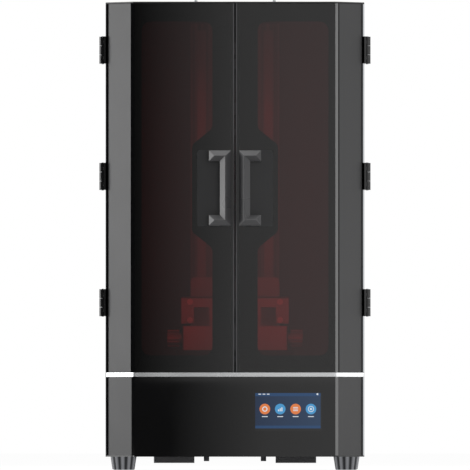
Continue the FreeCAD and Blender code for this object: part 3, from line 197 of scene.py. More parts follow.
class PrinterFeet(bpy.types.PropertyGroup):
    """Sizes of the fluted feet."""

    top: length("Top radius", "Radius of a foot under the base", 21.2 * MM)
    bottom: length("Bottom radius", "Radius of a foot on the floor", 17.8 * MM)
    bevel: length("Bevel", "Height and width of the bevel round the bottom", 1.0 * MM)
    flutes: bpy.props.IntProperty(name="Flutes", description="Flutes round a foot", default=11, min=3)
    depth: length("Flute depth", "Depth of a flute", 1.6 * MM)
    start: bpy.props.FloatProperty(
        name="Start", description="First flute, from the front", default=math.radians(-21.6), subtype="ANGLE"
    )


class PrinterEdges(bpy.types.PropertyGroup):
    """Sizes of the strips on the corners of the doors and the base."""

    corner: length("Corner", "How far behind the front the angled bands end", 47.0 * MM)
    width: length("Edge width", "Width of the strip along the outer corner", 5.6 * MM)
    rise: length("Edge rise", "How far that strip stands off the sheet", 2.0 * MM)
    # Painted shade: the thin black strip beside the corner strip stands in for the shaded line along the
    # corner.
    tape: length("Tape", "Thickness of the black tape beside the strip", 0.2 * MM)
    shade_line_width: length("Tape width", "Width of that tape as the front shows it", 1.7 * MM)
    bead_front: length("Bead front", "How far the bead on the front corner reaches over the panel", 1.5 * MM)
    bead_side: length("Bead side", "How far that bead reaches over the angled band", 3.3 * MM)
    bead_clear: length("Bead clearance", "From the sharp front corner to the bead's face", 0.15 * MM)
    bead_turn: bpy.props.FloatProperty(
        name="Bead turn", description="Turn of the bead's face", default=math.radians(31), subtype="ANGLE"
    )


class PrinterStage(bpy.types.PropertyGroup):
    """Camera, floor and light."""

    camera_distance: length("Camera distance", "From the front panels to the camera", 24.0)
    camera_height: length("Camera height", "Above the floor", 0.06)
    frame_width: length("Frame width", "Width seen at the front panels", 0.7795)
    card_span: length("Card span", "Half the width over which the front card brightens", 0.211)
    card_step: length("Card step", "How far right the shading starts on the card's lower part", 0.068)
    card_left: level("Card left", "Brightness of the front card at its left", 0.1)
    card_middle: level("Card middle", "Brightness of the front card before the printer's middle", 0.97)
    card_low: level("Card low", "Share of that brightness below the deck's height", 0.86)
    card_right: level("Card right", "Brightness of the front card at its right", 1.2)
    left_light: power("Left light", "Power of the left lamp", 22.5)
    strip_light: power("Strip light", "Power of the low strip at the right", 1.4)
    right_light: power("Right light", "Power of the right lamp", 3.2)
    top_light: power("Top light", "Power of the top lamp", 20.0)
    chamber_light: power("Chamber light", "Power of the lamp inside the cabinet", 0.15)
    flag: level("Flag", "Brightness of the dark wall at the left", 0.02)
    fill: level("Fill", "World light on matt surfaces", 0.35)
    floor_paint: colour("Floor", "Pale floor", "#EDEDED")


def shade(tint, factor):
    """A linear colour made lighter or darker."""
    return tuple(min(c * factor, 1.0) for c in tint[:3]) + (1.0,)


def add(tree, kind, inputs=None, stops=(), **settings):
    """Adds one shader node: settings go on it, and inputs are values or the sockets that feed them.

    Stops are the positions and linear colours of a ramp.
    """
    node = tree.nodes.new("ShaderNode" + kind)
    for name, value in settings.items():
        setattr(node, name, value)
    for name, value in (inputs or {}).items():
        socket = node.inputs[name]
        if isinstance(value, bpy.types.NodeSocket):
            tree.links.new(value, socket)
        else:
            socket.default_value = value
    elements = node.color_ramp.elements if stops else ()
    for _ in stops[2:]:
        elements.new(0.5)
    for element, (position, value) in zip(elements, stops):
        element.position = position
        element.color = value
    return node


def fresh(name):
    """An empty material and its node tree, or None for the tree if it was made before."""
    made = bpy.data.materials.get(name)
    if made:
        return made, None
    material = bpy.data.materials.new(name)
    material.use_nodes = True
    material.node_tree.nodes.clear()
    return material, material.node_tree


def close(tree, shader):
    """Joins a shader to the material's output."""
    add(tree, "OutputMaterial", {"Surface": shader})


def principled(tree, inputs):
    """Ends a material in one Principled shader."""
    close(tree, add(tree, "BsdfPrincipled", inputs).outputs["BSDF"])


def mixed(tree, share, first, second):
    """Two shaders mixed by the second one's share."""
    return add(tree, "MixShader", {0: share, 1: first, 2: second}).outputs["Shader"]


def grain(tree, size_mm, detail=3.0, stretch=(1.0, 1.0, 1.0)):
    """Noise on Object coordinates whose grains are about size_mm across, drawn out by stretch."""
    place = add(tree, "TexCoord").outputs["Object"]
    place = add(tree, "Mapping", {"Vector": place, "Scale": stretch}).outputs["Vector"]
    settings = {"Vector": place, "Scale": 1.0 / (size_mm * MM), "Detail": detail, "Roughness": 0.55}
    return add(tree, "TexNoise", settings).outputs["Fac"]


ALONG_Z = (1.0, 1.0, 0.03)
DRAWN_Z = (1.0, 1.0, 0.02)
# Each plain finish: its colour, roughness, grain and bump in mm, tone, and what differs from the usual.
FINISHES = {
    # Satin powder coat, baked on steel sheet: a fine orange peel 1.6 mm across and a soft sheen.
    "powder_coat_satin_grey": ("band_paint", 0.42, 1.6, 0.012, 0.05, {"spread": 0.03}),
    # The same powder coat on the door frames.
    "powder_coat_door_frame": ("band_paint", 0.42, 1.6, 0.012, 0.05, {"spread": 0.03}),
    # Glossy black enamel on the cast hinges and the motor: dark, with a mirror-like sheen.
    "enamel_black": ("enamel", 0.16, 1.1, 0.006, 0.2, {}),
    # Polished cast acrylic, black through: mirror-smooth, with faint wiping marks that change the gloss.
    "acrylic_polished_black": ("front_panel", 0.035, 40.0, 0.002, 0.08, {"spread": 0.5, "ior": 1.49}),
    # Satin moulded ABS of the handles: smooth to the hand, with a soft broad highlight.
    "abs_satin_black": ("handle_black", 0.3, 0.7, 0.003, 0.1, {}),
    # Spark-eroded moulded ABS: a fine matt grain, drawn at 0.9 mm so that it shows.
    "abs_grained_black": ("moulded_black", 0.55, 0.9, 0.03, 0.2, {}),
    # The same ABS on the handle pads, blacker and a little smoother.
    "abs_grained_pad": ("pad_black", 0.3, 0.9, 0.03, 0.2, {}),
    # The same ABS in grey, on the fans' frames and guards.
    "abs_grained_grey": ("fan_grey", 0.5, 0.9, 0.03, 0.12, {}),
    # Bead-blasted, clear-anodised aluminium: an even grey metal with a fine sparkle.
    "aluminium_anodised": ("anodised", 0.42, 0.8, 0.012, 0.12, {"metallic": 1.0}),
    # The same clear anodise on the build head's mount, whose lower pad is black.
    "aluminium_anodised_two_tone": ("anodised", 0.42, 0.8, 0.012, 0.12, {"metallic": 1.0}),
    # Anodised extrusion of the tower: darker than the head, with draw lines along Z about 5 mm apart.
    "aluminium_anodised_tower": (
        "tower", 0.42, 5.0, 0.01, 0.5, {"metallic": 0.5, "stretch": (1.0, 1.0, 0.004)}
    ),
    # Black-anodised aluminium of the bearing blocks: dark metal with a dull sheen.
    "aluminium_black_anodised": ("bearing", 0.36, 0.8, 0.01, 0.15, {"metallic": 0.8}),
    # Milled and polished aluminium plate: fine lines along its edge, drawn 1 mm apart, in a mirror.
    "aluminium_polished": (
        "polished", 0.24, 1.0, 0.003, 0.05, {"metallic": 1.0, "spread": 0.3, "stretch": (0.02, 0.02, 1.0)}
    ),
    # Ground, hardened steel: bright, with fine grinding lines along Z.
    "steel_ground": ("steel", 0.28, 0.6, 0.003, 0.08, {"metallic": 1.0, "spread": 0.25, "stretch": ALONG_Z}),
    # Hardened steel of the rails: darker, with the same grinding lines.
    "steel_hardened_rail": (
        "rail", 0.34, 0.6, 0.003, 0.1, {"metallic": 1.0, "spread": 0.25, "stretch": ALONG_Z}
    ),
    # Black-oxide steel of small screws: dark metal with a soft highlight.
    "steel_black_oxide": ("oxide", 0.3, 0.5, 0.003, 0.15, {"metallic": 1.0}),
    # Zinc-plated steel of the arm's bolts: pale and satin, brighter than the arm.
    "steel_zinc_plated": ("zinc", 0.45, 0.6, 0.004, 0.1, {"metallic": 0.4}),
    # Rolled steel of the outer corner strips: a smooth mirror, dark or bright with what is beside it.
    "steel_rolled_edge": (
        "steel", 0.07, 0.8, 0.0005, 0.1, {"metallic": 1.0, "spread": 0.3, "stretch": DRAWN_Z}
    ),
    # Extruded black PVC of the beads: a mirror-like skin with faint draw lines along Z.
    "pvc_extruded_black": ("edge_black", 0.06, 0.8, 0.0005, 0.2, {"spread": 0.3, "stretch": DRAWN_Z}),
    # Dull black strips beside the outer corner strips, standing in for the shaded line there: no gloss at
    # all, so a thin black line of painted shade.
    "tape_flocked_black": ("back_print", 0.95, 0.4, 0.02, 0.2, {"ior": 1.0}),
    # Closed-cell foam rubber of the seals: dull black with pores about 1 mm across.
    "rubber_foam_black": ("rubber", 0.85, 1.0, 0.06, 0.25, {}),
    # Bonded glass over a black display: near black, very smooth, with faint finger marks in the gloss.
    "glass_display_black": ("glass", 0.03, 30.0, 0.002, 0.1, {"spread": 0.4, "ior": 1.52}),
}


def finish():
    """The finish colours held in the scene."""
    return bpy.context.scene.printer_finish


def along(tree, axis):
    """The Object coordinate on one axis."""
    place = add(tree, "TexCoord").outputs["Object"]
    return add(tree, "SeparateXYZ", {"Vector": place}).outputs[axis]


def maths(tree, operation, *values):
    """One sum on values or sockets."""
    return add(tree, "Math", dict(enumerate(values)), operation=operation).outputs["Value"]


def ranged(tree, value, low, high, start=0.0, end=1.0):
    """A value that goes from low to high while the given one goes from start to end."""
    span = {"Value": value, "From Min": start, "From Max": end, "To Min": low, "To Max": high}
    return add(tree, "MapRange", span).outputs["Result"]


def bumped(tree, height, rise_mm):
    """A normal that is lifted by a height up to rise_mm."""
    return add(tree, "Bump", {"Distance": rise_mm * MM, "Height": height}).outputs["Normal"]


def ramp(tree, value, stops):
    """The colour that a ramp gives for a value."""
    return add(tree, "ValToRGB", {"Fac": value}, stops).outputs["Color"]


def surface(name, below=None, gloss_below=0.5):
    """A finish of the table, from one fine grain and one broad cloud.

    The grain changes the colour by tone and lifts a bump; the cloud changes the roughness by spread.
    below is an Object axis, a limit on it and the colour of what lies below that limit.
    """
    material, tree = fresh(name)
    if tree is None:
        return material
    tint, roughness, grain_mm, bump_mm, tone, more = FINISHES[name]
    tint = getattr(finish(), tint)
    spread = more.get("spread", 0.12)
    fine = grain(tree, grain_mm, 4.0, more.get("stretch", (1.0, 1.0, 1.0)))
    broad = grain(tree, 85.0, 2.0)
    dull, bright = roughness * (1.0 - spread), roughness * (1.0 + spread)
    inputs = {
        "Base Color": ramp(tree, fine, [(0.3, shade(tint, 1 - tone)), (0.7, shade(tint, 1 + tone))]),
        "Roughness": ranged(tree, broad, dull, bright, 0.3, 0.7),
        "Metallic": more.get("metallic", 0.0),
        "IOR": more.get("ior", 1.5),
        "Normal": bumped(tree, fine, bump_mm),
    }
    if below:
        axis, limit, other = below
        under = maths(tree, "LESS_THAN", along(tree, axis), limit)
        tints = {0: under, 6: inputs["Base Color"], 7: other}
        inputs["Base Color"] = add(tree, "Mix", tints, data_type="RGBA").outputs[2]
        inputs["Specular IOR Level"] = ranged(tree, under, 0.5, gloss_below)
    principled(tree, inputs)
    return material


def door_coat():
    """The door frame's coat, with dull black print on all that lies before the sheet's back face."""
    back = float(node_box("left_door_frame")[0][1]) + PRINT_DEPTH
    return surface("powder_coat_door_frame", ("Y", back, finish().back_print), 0.0)


def mount_anodised():
    """The mount's clear anodise, with its lower pad anodised black."""
    edge = float(node_box("platform_mount")[0][2]) + finish().pad_height
    return surface("aluminium_anodised_two_tone", ("Z", edge, finish().bearing))


def tinted_acrylic():
    """Dark red acrylic that stops UV: each face passes tinted light and mirrors the rest by Fresnel.

    The strip beside the seam is printed black, and its bevelled edge carries a thin grey line, a painted
    highlight.
    """
    material, tree = fresh("acrylic_tinted_red")
    if tree is None:
        return material
    wipe = grain(tree, 60.0, 3.0, (1.0, 1.0, 0.35))
    rough = ranged(tree, wipe, 0.015, 0.05)
    aside = maths(tree, "ABSOLUTE", along(tree, "X"))
    strip = float(node_box("right_door_handle")[0][0])
    edge = maths(tree, "LESS_THAN", aside, strip)
    through = add(tree, "BsdfTransparent", {"Color": finish().window_tint})
    # Painted highlight: grey on the bevelled edge right at the seam, then the black print of the strip.
    stops = [(0.44, finish().seam_highlight), (0.47, finish().back_print)]
    tint = ramp(tree, ranged(tree, aside, 0.0, 1.0, 0.0, strip), stops)
    print_black = add(tree, "BsdfDiffuse", {"Color": tint})
    behind = mixed(tree, edge, through.outputs["BSDF"], print_black.outputs["BSDF"])
    mirror = add(tree, "BsdfGlossy", {"Roughness": rough}).outputs["BSDF"]
    share = add(tree, "Fresnel", {"IOR": 1.49}).outputs["Fac"]
    close(tree, mixed(tree, share, behind, mirror))
    return material


def turned_foot():
    """Turned, dark-plated metal of the feet, with painted light: a painted highlight on the ribs and painted
    shade in the flutes, which are also duller.

    The attribute named recess is one in the bottom of a flute and zero on a rib.
    """
    material, tree = fresh("metal_turned_fluted")
    if tree is None:
        return material
    recess = add(tree, "Attribute", attribute_name="recess").outputs["Fac"]
    fine = grain(tree, 0.8, 4.0, (0.05, 0.05, 1.0))
    metal = finish().foot_metal
    # Painted light: ribs get 1.25 times the metal's colour as a highlight, flute bottoms 0.18 times as shade.
    stops = [(0.1, shade(metal, 1.25)), (0.5, shade(metal, 0.7)), (0.9, shade(metal, 0.18))]
    inputs = {"Base Color": ramp(tree, recess, stops), "Metallic": 1.0}
    inputs["Roughness"] = ranged(tree, recess, 0.16, 0.4)
    inputs["Normal"] = bumped(tree, fine, 0.004)
    principled(tree, inputs)
    return material


def release_film():
    """Thin fluoropolymer film: almost clear, with a slack, milky sheen."""
    material, tree = fresh("film_release_clear")
    if tree is None:
        return material
    slack = grain(tree, 45.0, 2.0)
    through = add(tree, "BsdfTransparent", {"Color": finish().film}).outputs["BSDF"]
    gloss = {"Roughness": ranged(tree, slack, 0.08, 0.22), "Normal": bumped(tree, slack, 0.15)}
    mirror = add(tree, "BsdfGlossy", gloss).outputs["BSDF"]
    close(tree, mixed(tree, 0.14, through, mirror))
    return material


def circuit_board():
    """Green solder mask with the lighter maze of copper tracks under it, about 2.5 mm apart."""
    material, tree = fresh("board_solder_mask")
    if tree is None:
        return material
    place = add(tree, "TexCoord").outputs["Object"]
    cells = {"Vector": place, "Scale": 1.0 / (2.5 * MM)}
    tracks = add(tree, "TexVoronoi", cells, feature="DISTANCE_TO_EDGE").outputs["Distance"]
    stops = [(0.06, shade(finish().board, 1.9)), (0.12, finish().board)]
    inputs = {"Base Color": ramp(tree, tracks, stops), "Roughness": 0.35}
    inputs["Normal"] = bumped(tree, tracks, 0.02)
    principled(tree, inputs)
    return material


def lit_pixels(name, tint, strength, other=None):
    """A lit part of the display: glowing colour under glass, with pixels drawn 0.6 mm wide to show.

    The colour goes over to the other one across the picture, from its left to its right.
    """
    material, tree = fresh(name)
    if tree is None:
        return material
    look = bpy.context.scene.printer_screen
    place = add(tree, "TexCoord").outputs["Object"]
    share = ranged(tree, along(tree, "X"), 0.0, 1.0, look.left, look.left + look.width)
    base = ramp(tree, share, [(0.0, tint), (1.0, other or tint)])
    grid = {"Vector": place, "Scale": 1.0 / (0.6 * MM)}
    grid["Color1"] = (0.94, 0.94, 0.94, 1.0)
    grid["Color2"] = (1.0, 1.0, 1.0, 1.0)
    dots = add(tree, "TexChecker", grid).outputs["Color"]
    tints = {0: 1.0, 6: base, 7: dots}
    inputs = {"Base Color": finish().glass, "Roughness": 0.06, "Emission Strength": strength}
    glow = add(tree, "Mix", tints, data_type="RGBA", blend_type="MULTIPLY")
    inputs["Emission Color"] = glow.outputs[2]
    principled(tree, inputs)
    return material


def dress(names, material):
    """Gives CAD nodes one material."""
    for name in names:
        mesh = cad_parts[name].data
        mesh.materials.clear()
        mesh.materials.append(material)


def coat(rows):
    """Gives CAD nodes their finishes, from a finish's name to the names of its nodes."""
    for name, nodes in rows.items():
        dress(nodes.split(), surface(name))


def link(name, points, blocks, material):
    """Makes an object from an array of points and blocks of faces, each block an array of one face width."""
    mesh = bpy.data.meshes.new(name)
    faces = [face for block in blocks for face in np.asarray(block).tolist()]
    mesh.from_pydata(np.asarray(points, float).reshape(-1, 3).tolist(), [], faces)
    mesh.materials.append(material)
    mesh.update()
    made = bpy.data.objects.new(name, mesh)
    bpy.context.scene.collection.objects.link(made)
    return made


def put(name, points, blocks, material, body):
    """Makes a piece and lets it ride on a body."""
    piece = link(name, points, blocks, material)
    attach(piece, body)
    return piece


def around(sides):
    """Evenly spaced angles round a circle."""
    return np.arange(sides) * (2 * math.pi / sides)


def quads(rows, columns):
    """Faces of a grid of rows by columns points that closes on itself along its columns."""
    i, j = np.meshgrid(np.arange(rows - 1), np.arange(columns), indexing="ij")
    k = (j + 1) % columns
    corners = [i * columns + j, i * columns + k, (i + 1) * columns + k, (i + 1) * columns + j]
    return np.stack(corners, -1).reshape(-1, 4)


def caps(rows, columns):
    """The two many-sided faces that close the first and the last row of such a grid."""
    first = np.arange(columns)
    return np.stack([first[::-1], first + (rows - 1) * columns])


def carried(plan, span):
    """A closed plan of x and y carried straight up: point = (x, y, z) for the two heights z of the span."""
    z = np.array(span)[:, None]
    points = np.stack([plan[:, 0] + 0 * z, plan[:, 1] + 0 * z, z + 0 * plan[:, 0]], -1)
    return points, [quads(2, len(plan)), caps(2, len(plan))]


def turned(profile, sides):
    """A closed body turned about Z: point = (r cos a, r sin a, h) on a grid of profile by angle."""
    profile = np.asarray(profile, float)
    angle = around(sides)
    radius, height = profile[:, :1], profile[:, 1:]
    points = np.stack([radius * np.cos(angle), radius * np.sin(angle), height + 0 * angle], -1)
    return points.reshape(-1, 3), [quads(len(profile), sides), caps(len(profile), sides)]


def repeated(points, blocks, places, turn):
    """Copies of one shape: turn maps its own axes to the printer's, and places are where the copies go."""
    places = np.asarray(places, float)
    moved = (points @ np.asarray(turn, float).T)[None] + places[:, None]
    shifts = np.arange(len(places))[:, None, None] * len(points)
    return moved.reshape(-1, 3), [(b[None] + shifts).reshape(-1, b.shape[1]) for b in blocks]


def facing(axis, sign):
    """Three axes that carry a shape's own Z to +-X or +-Y, keeping it right-handed."""
    if axis == "x":
        return [[0, 0, sign], [sign, 0, 0], [0, 1, 0]]
    return [[-sign, 0, 0], [0, 0, sign], [0, 1, 0]]


def head_profile(radius, height):
    """Radius and height of a low screw head with a recess, from its rim to its middle."""
    r, h = radius, height
    return [(r, 0), (r, 0.45 * h), (0.82 * r, h), (0.42 * r, h), (0.36 * r, 0.3 * h)]


class PRINTER_OT_housing(bpy.types.Operator):
    """Finishes the base, the cabinet walls and the roof"""

    bl_idname = "printer.housing"
    bl_label = "Housing"

    def execute(self, context):
        rows = {
            "powder_coat_satin_grey": "base_housing left_side_panel right_side_panel rear_panel roof_plate",
            "acrylic_polished_black": "base_front_panel",
            "enamel_black": "base_floor",
            "aluminium_polished": "deck_plate",
            "rubber_foam_black": "door_seals",
            "abs_grained_black": "door_catches",
            "steel_ground": "roof_screws",
            "steel_black_oxide": "heat_sink_bolts",
        }
        coat(rows)
        return {"FINISHED"}


class PRINTER_OT_doors(bpy.types.Operator):
    """Finishes the doors, their tinted panels, handles and hinges"""

    bl_idname = "printer.doors"
    bl_label = "Doors"

    def execute(self, context):
        rows = {
            "abs_satin_black": "left_door_handle right_door_handle",
            "abs_grained_pad": "left_handle_pad right_handle_pad",
            "enamel_black": "left_door_hinge_leaves right_door_hinge_leaves hinge_frame_leaves",
            "steel_ground": "hinge_pins",
        }
        coat(rows)
        dress(["left_door_frame", "right_door_frame"], door_coat())
        dress(["left_door_window", "right_door_window"], tinted_acrylic())
        return {"FINISHED"}


class PRINTER_OT_lift(bpy.types.Operator):
    """Finishes the tower, the rails, the build head and the vat"""

    bl_idname = "printer.lift"
    bl_label = "Lift and vat"

    def execute(self, context):
        knobs = "left_clamp_knob right_clamp_knob left_vat_knob right_vat_knob"
        rows = {
            "aluminium_anodised": "z_carriage build_arm build_plate resin_vat " + knobs,
            "aluminium_anodised_tower": "z_tower",
            "steel_ground": "rail_blocks screw_nut",
            "steel_zinc_plated": "arm_bolts",
            "steel_hardened_rail": "z_rails",
            "aluminium_black_anodised": "z_bearings",
            "glass_display_black": "lcd_panel",
        }
        coat(rows)
        dress(["platform_mount"], mount_anodised())
        dress(["vat_film"], release_film())
        return {"FINISHED"}


class PRINTER_OT_inside(bpy.types.Operator):
    """Finishes the fans, the inlet, the socket and what the base holds"""

    bl_idname = "printer.inside"
    bl_label = "Fans, sockets and electronics"

    def execute(self, context):
        rotors = "left_intake_rotor right_intake_rotor exhaust_rotor"
        metal = "uv_light_box uv_heat_sink power_supply motor_coupling uv_led_board"
        rows = {
            "abs_grained_grey": "fan_frames fan_grilles",
            "abs_grained_black": rotors + " power_inlet power_switch_case",
            "abs_satin_black": "power_switch_rocker",
            "steel_ground": "usb_socket",
            "aluminium_anodised": metal,
            "enamel_black": "z_motor",
        }
        coat(rows)
        dress(["control_board"], circuit_board())
        return {"FINISHED"}


class PRINTER_OT_thread(bpy.types.Operator):
    """Replaces the plain lead screw by one with its thread"""

    bl_idname = "printer.thread"
    bl_label = "Lead screw thread"

    def execute(self, context):
        """The surface is r(z, a) = R - g (1 - cos(n (2 pi z / lead - a))) / 2, with n starts and groove g."""
        size = context.scene.printer_thread
        low, high = node_box("lead_screw")
        centre = (low + high) / 2
        radius = (high[0] - low[0]) / 2
        sides = 20
        rows = int((high[2] - low[2]) / size.lead * 12)
        rise = np.linspace(low[2], high[2], rows)
        angle = around(sides)
        z, a = np.meshgrid(rise, angle, indexing="ij")
        wave = np.cos(size.starts * (2 * math.pi * z / size.lead - a))
        journal = (z < node_box("deck_plate")[1][2]) | (z > high[2] - JOURNAL_LENGTH)
        r = np.where(journal, radius - JOURNAL_STEP, radius - size.groove * (1 - wave) / 2)
        points = np.stack([centre[0] + r * np.cos(a), centre[1] + r * np.sin(a), z], -1)
        blocks = [quads(rows, sides), caps(rows, sides)]
        piece = put("lead_screw_thread", points, blocks, surface("steel_ground"), "screw")
        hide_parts("lead_screw")
        return {"FINISHED"}


class PRINTER_OT_feet(bpy.types.Operator):
    """Replaces the plain feet by fluted ones"""

    bl_idname = "printer.feet"
    bl_label = "Feet"

    def execute(self, context):
        """The surface is r(h, a) = R(h) - d (1 + cos(n (a - s))) / 2: n flutes of depth d from angle s."""
        size = context.scene.printer_feet
        low, high = node_box("feet")
        bevel = size.bevel
        heights = np.concatenate([[low[2], low[2] + bevel], np.linspace(low[2] + bevel, high[2], 8)[1:]])
        share = (heights - low[2]) / (high[2] - low[2])
        reach = size.bottom + (size.top - size.bottom) * share
        reach[0] -= bevel
        sides = size.flutes * 12
        angle = around(sides)
        blocks = [quads(len(heights), sides), caps(len(heights), sides)]
        shapes, recess = [], []
        for x, y in self.places():
            start = math.copysign(1.0, -x) * size.start - math.pi / 2
            hollow = (1 + np.cos(size.flutes * (angle - start))) / 2
            r = reach[:, None] - size.depth * hollow
            points = np.stack([x + r * np.cos(angle), y + r * np.sin(angle), heights[:, None] + 0 * r], -1)
            shapes.append(points.reshape(-1, 3))
            recess.append((hollow + 0 * r).ravel())
        shift = np.arange(len(shapes))[:, None, None] * len(shapes[0])
        blocks = [(block[None] + shift).reshape(-1, block.shape[1]) for block in blocks]
        piece = put("fluted_feet", np.concatenate(shapes), blocks, turned_foot(), "chassis")
        # These recess values also drive the painted shade of the flutes in the feet's material.
        hollows = piece.data.attributes.new("recess", "FLOAT", "POINT")
        hollows.data.foreach_set("value", np.concatenate(recess))
        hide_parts("feet")
        return {"FINISHED"}

    def places(self):
        """The middles of the four feet, from the top ring of each in the plain ones."""
        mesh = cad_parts["feet"].data
        points = np.empty(len(mesh.vertices) * 3)
        mesh.vertices.foreach_get("co", points)
        points = points.reshape(-1, 3)
        middles = []
        for across in (-1, 1):
            for along in (-1, 1):
                mine = (points[:, 0] * across > 0) & ((points[:, 1] - points[:, 1].mean()) * along > 0)
                middles.append((points[mine].min(0) + points[mine].max(0))[:2] / 2)
        return middles


class PRINTER_OT_edges(bpy.types.Operator):
    """Adds the strips, the black lines of painted shade and the beads on the corners of the doors and the
    base
    """

    bl_idname = "printer.edges"
    bl_label = "Corner strips"

    def execute(self, context):
        size = context.scene.printer_edges
        front = node_box("deck_plate")[0][1]
        outer = node_box("deck_plate")[0][0]
        sections = {"edge": (self.edge(size, outer, front + size.corner), surface("steel_rolled_edge"))}
        # The black line strips are painted shade beside the corner strips.
        sections["line"] = (self.line(size, outer, front + size.corner), surface("tape_flocked_black"))
        sections["bead"] = (self.bead(size, outer + size.corner, front), surface("pvc_extruded_black"))
        for side in ("left", "right"):
            door = ("door", side + "_door_frame", side + "_door")
            for part, node, body in (door, ("base", "base_housing", "chassis")):
                low, high = node_box(node)
                for name, (section, material) in sections.items():
                    plan = section if side == "left" else section[::-1] * (-1.0, 1.0)
                    shape = carried(plan, (low[2], high[2]))
                    put(f"{side}_{part}_{name}_strip", *shape, material, body)
        return {"FINISHED"}

    def edge(self, size, x, y):
        """A wedge on the angled band, highest at its inner side, as shares of its width u and rise v."""
        shares = np.array([(0.05, 0.0), (0.25, 0.3), (0.54, 0.62), (0.96, 1.0), (0.6, 0.0)])
        u, v = (shares * (size.width, size.rise)).T * math.sqrt(0.5)
        return np.stack([x + u - v, y - u - v], -1)

    def line(self, size, x, y):
        """A thin flat black strip of painted shade on the angled band beside the wedge, from u to u plus its
        width.
        """
        start = 0.6 * size.width
        end = size.width - size.rise + size.shade_line_width * math.sqrt(2)
        u, v = np.array([(start, size.tape), (end, size.tape), (end, 0.0), (start, 0.0)]).T * math.sqrt(0.5)
        return np.stack([x + u - v, y - u - v], -1)

    def bead(self, size, x, y):
        """A flat facet over the front corner, turned between the panel and the angled band, with its root."""
        reach, side = size.bead_front, size.bead_side
        slope = math.tan(size.bead_turn)
        front = y - size.bead_clear
        face = [(x - side, front + side * slope), (x + reach, front - reach * slope)]
        return np.array(face + [(x + reach, y), (x - side, y + side)])


class PRINTER_OT_lips(bpy.types.Operator):
    """Adds the rubber lips that keep light out of the seam between the doors"""

    bl_idname = "printer.lips"
    bl_label = "Seam lips"

    def execute(self, context):
        """Each lip is a straight strip along Z: its section is a half circle with a flat root."""
        size = context.scene.printer_lips
        low = node_box("right_door_frame")[0]
        bottom, top = node_box("right_door_window")
        root, middle = low[0], low[1] + size.setback
        angle = np.linspace(math.pi / 2, 3 * math.pi / 2, 11)
        nose = size.gap + size.radius
        x = np.concatenate([nose + size.radius * np.cos(angle), [root, root]])
        y = middle + np.concatenate([size.radius * np.sin(angle), [-size.radius, size.radius]])
        right, blocks = carried(np.stack([x, y], -1), (bottom[2], top[2]))
        left = right[:, ::-1] * np.array([-1.0, 1.0, 1.0])
        put("right_seam_lip", right, blocks, surface("rubber_foam_black"), "right_door")
        put("left_seam_lip", left, blocks, surface("rubber_foam_black"), "left_door")
        return {"FINISHED"}


class PRINTER_OT_fasteners(bpy.types.Operator):
    """Adds the hinge screws, the rear panel screws and the rail screws"""

    bl_idname = "printer.fasteners"
    bl_label = "Small screws"

    def execute(self, context):
        size = context.scene.printer_fasteners
        self.hinge_screws(size)
        self.rear_screws(size)
        self.rail_screws(size)
        return {"FINISHED"}

    def hinge_screws(self, size):
        """Two screws on each hinge leaf, on the leaf's outer face."""
        points, blocks = turned(head_profile(size.hinge_head, size.hinge_rise), 20)
        low, high = node_box("hinge_frame_leaves")
        pins_low, pins_high = node_box("hinge_pins")
        first = low[2] + size.hinge_length / 2
        last = high[2] - size.hinge_length / 2
        middles = np.array([first, (first + last) / 2, last])
        heights = np.concatenate([middles - size.hinge_spread, middles + size.hinge_spread])
        axis_y = (pins_low[1] + pins_high[1]) / 2
        wall = node_box("base_housing")[1][0] + size.leaf_thickness
        for side, sign in (("left", -1), ("right", 1)):
            for part, step, body in (("door", -1, side + "_door"), ("frame", 1, "chassis")):
                y = axis_y + step * size.leaf_middle
                places = np.stack([np.full(6, sign * wall), np.full(6, y), heights], -1)
                copies = repeated(points, blocks, places, facing("x", sign))
                put(f"{side}_hinge_screws_{part}", *copies, surface("steel_black_oxide"), body)

    def rear_screws(self, size):
        """Pan-head screws down both sides of the rear panel."""
        points, blocks = turned(head_profile(size.panel_head, size.panel_rise), 20)
        low, high = node_box("rear_panel")
        rows = np.linspace(low[2] + REAR_END, high[2] - REAR_END, REAR_ROWS)
        sides = np.array([low[0], high[0]]) + np.array([REAR_SIDE, -REAR_SIDE])
        x, z = [grid.ravel() for grid in np.meshgrid(sides, rows)]
        places = np.stack([x, np.full(len(x), high[1]), z], -1)
        copies = repeated(points, blocks, places, facing("y", 1))
        put("rear_panel_screws", *copies, surface("steel_ground"), "chassis")

    def rail_screws(self, size):
        """Screws sunk in the front of the rails, one every rail pitch."""
        r = size.rail_head
        profile = [(r, 0), (0.94 * r, RAIL_RIM), (0.5 * r, RAIL_RIM), (0.45 * r, RAIL_RECESS)]
        points, blocks = turned(profile, 18)
        low, high = node_box("z_rails")
        rows = np.arange(low[2] + size.rail_pitch / 2, high[2] - size.rail_pitch / 4, size.rail_pitch)
        middle = high[0] - size.rail_width / 2
        x, z = [grid.ravel() for grid in np.meshgrid(np.array([-middle, middle]), rows)]
        places = np.stack([x, np.full(len(x), low[1]), z], -1)
        copies = repeated(points, blocks, places, facing("y", -1))
        put("rail_screws", *copies, surface("steel_hardened_rail"), "chassis")


def disc(x, z, y, radius, sides=40):
    """A flat disc facing the front, as one many-sided face."""
    angle = around(sides)
    points = np.stack([x + radius * np.cos(angle), np.full(sides, y), z + radius * np.sin(angle)], -1)
    return points, np.arange(sides)[None]


def loop(x, z, y, radius, inner, sides=32):
    """A flat ring facing the front: a grid of two circles."""
    angle = around(sides)
    reach = np.array([radius, inner])[:, None]
    points = np.stack([x + reach * np.cos(angle), y + 0 * reach * angle, z + reach * np.sin(angle)], -1)
    return points.reshape(-1, 3), quads(2, sides)


def bar(x0, x1, z0, z1, y):
    """A flat rectangle facing the front."""
    points = np.array([(x0, y, z0), (x1, y, z0), (x1, y, z1), (x0, y, z1)])
    return points, np.arange(4)[None]


def joined(shapes):
    """Several flat shapes as one array of points and their blocks of faces."""
    counts = np.cumsum([0] + [len(points) for points, faces in shapes])
    blocks = [faces + start for (points, faces), start in zip(shapes, counts)]
    return np.concatenate([points for points, faces in shapes]), blocks


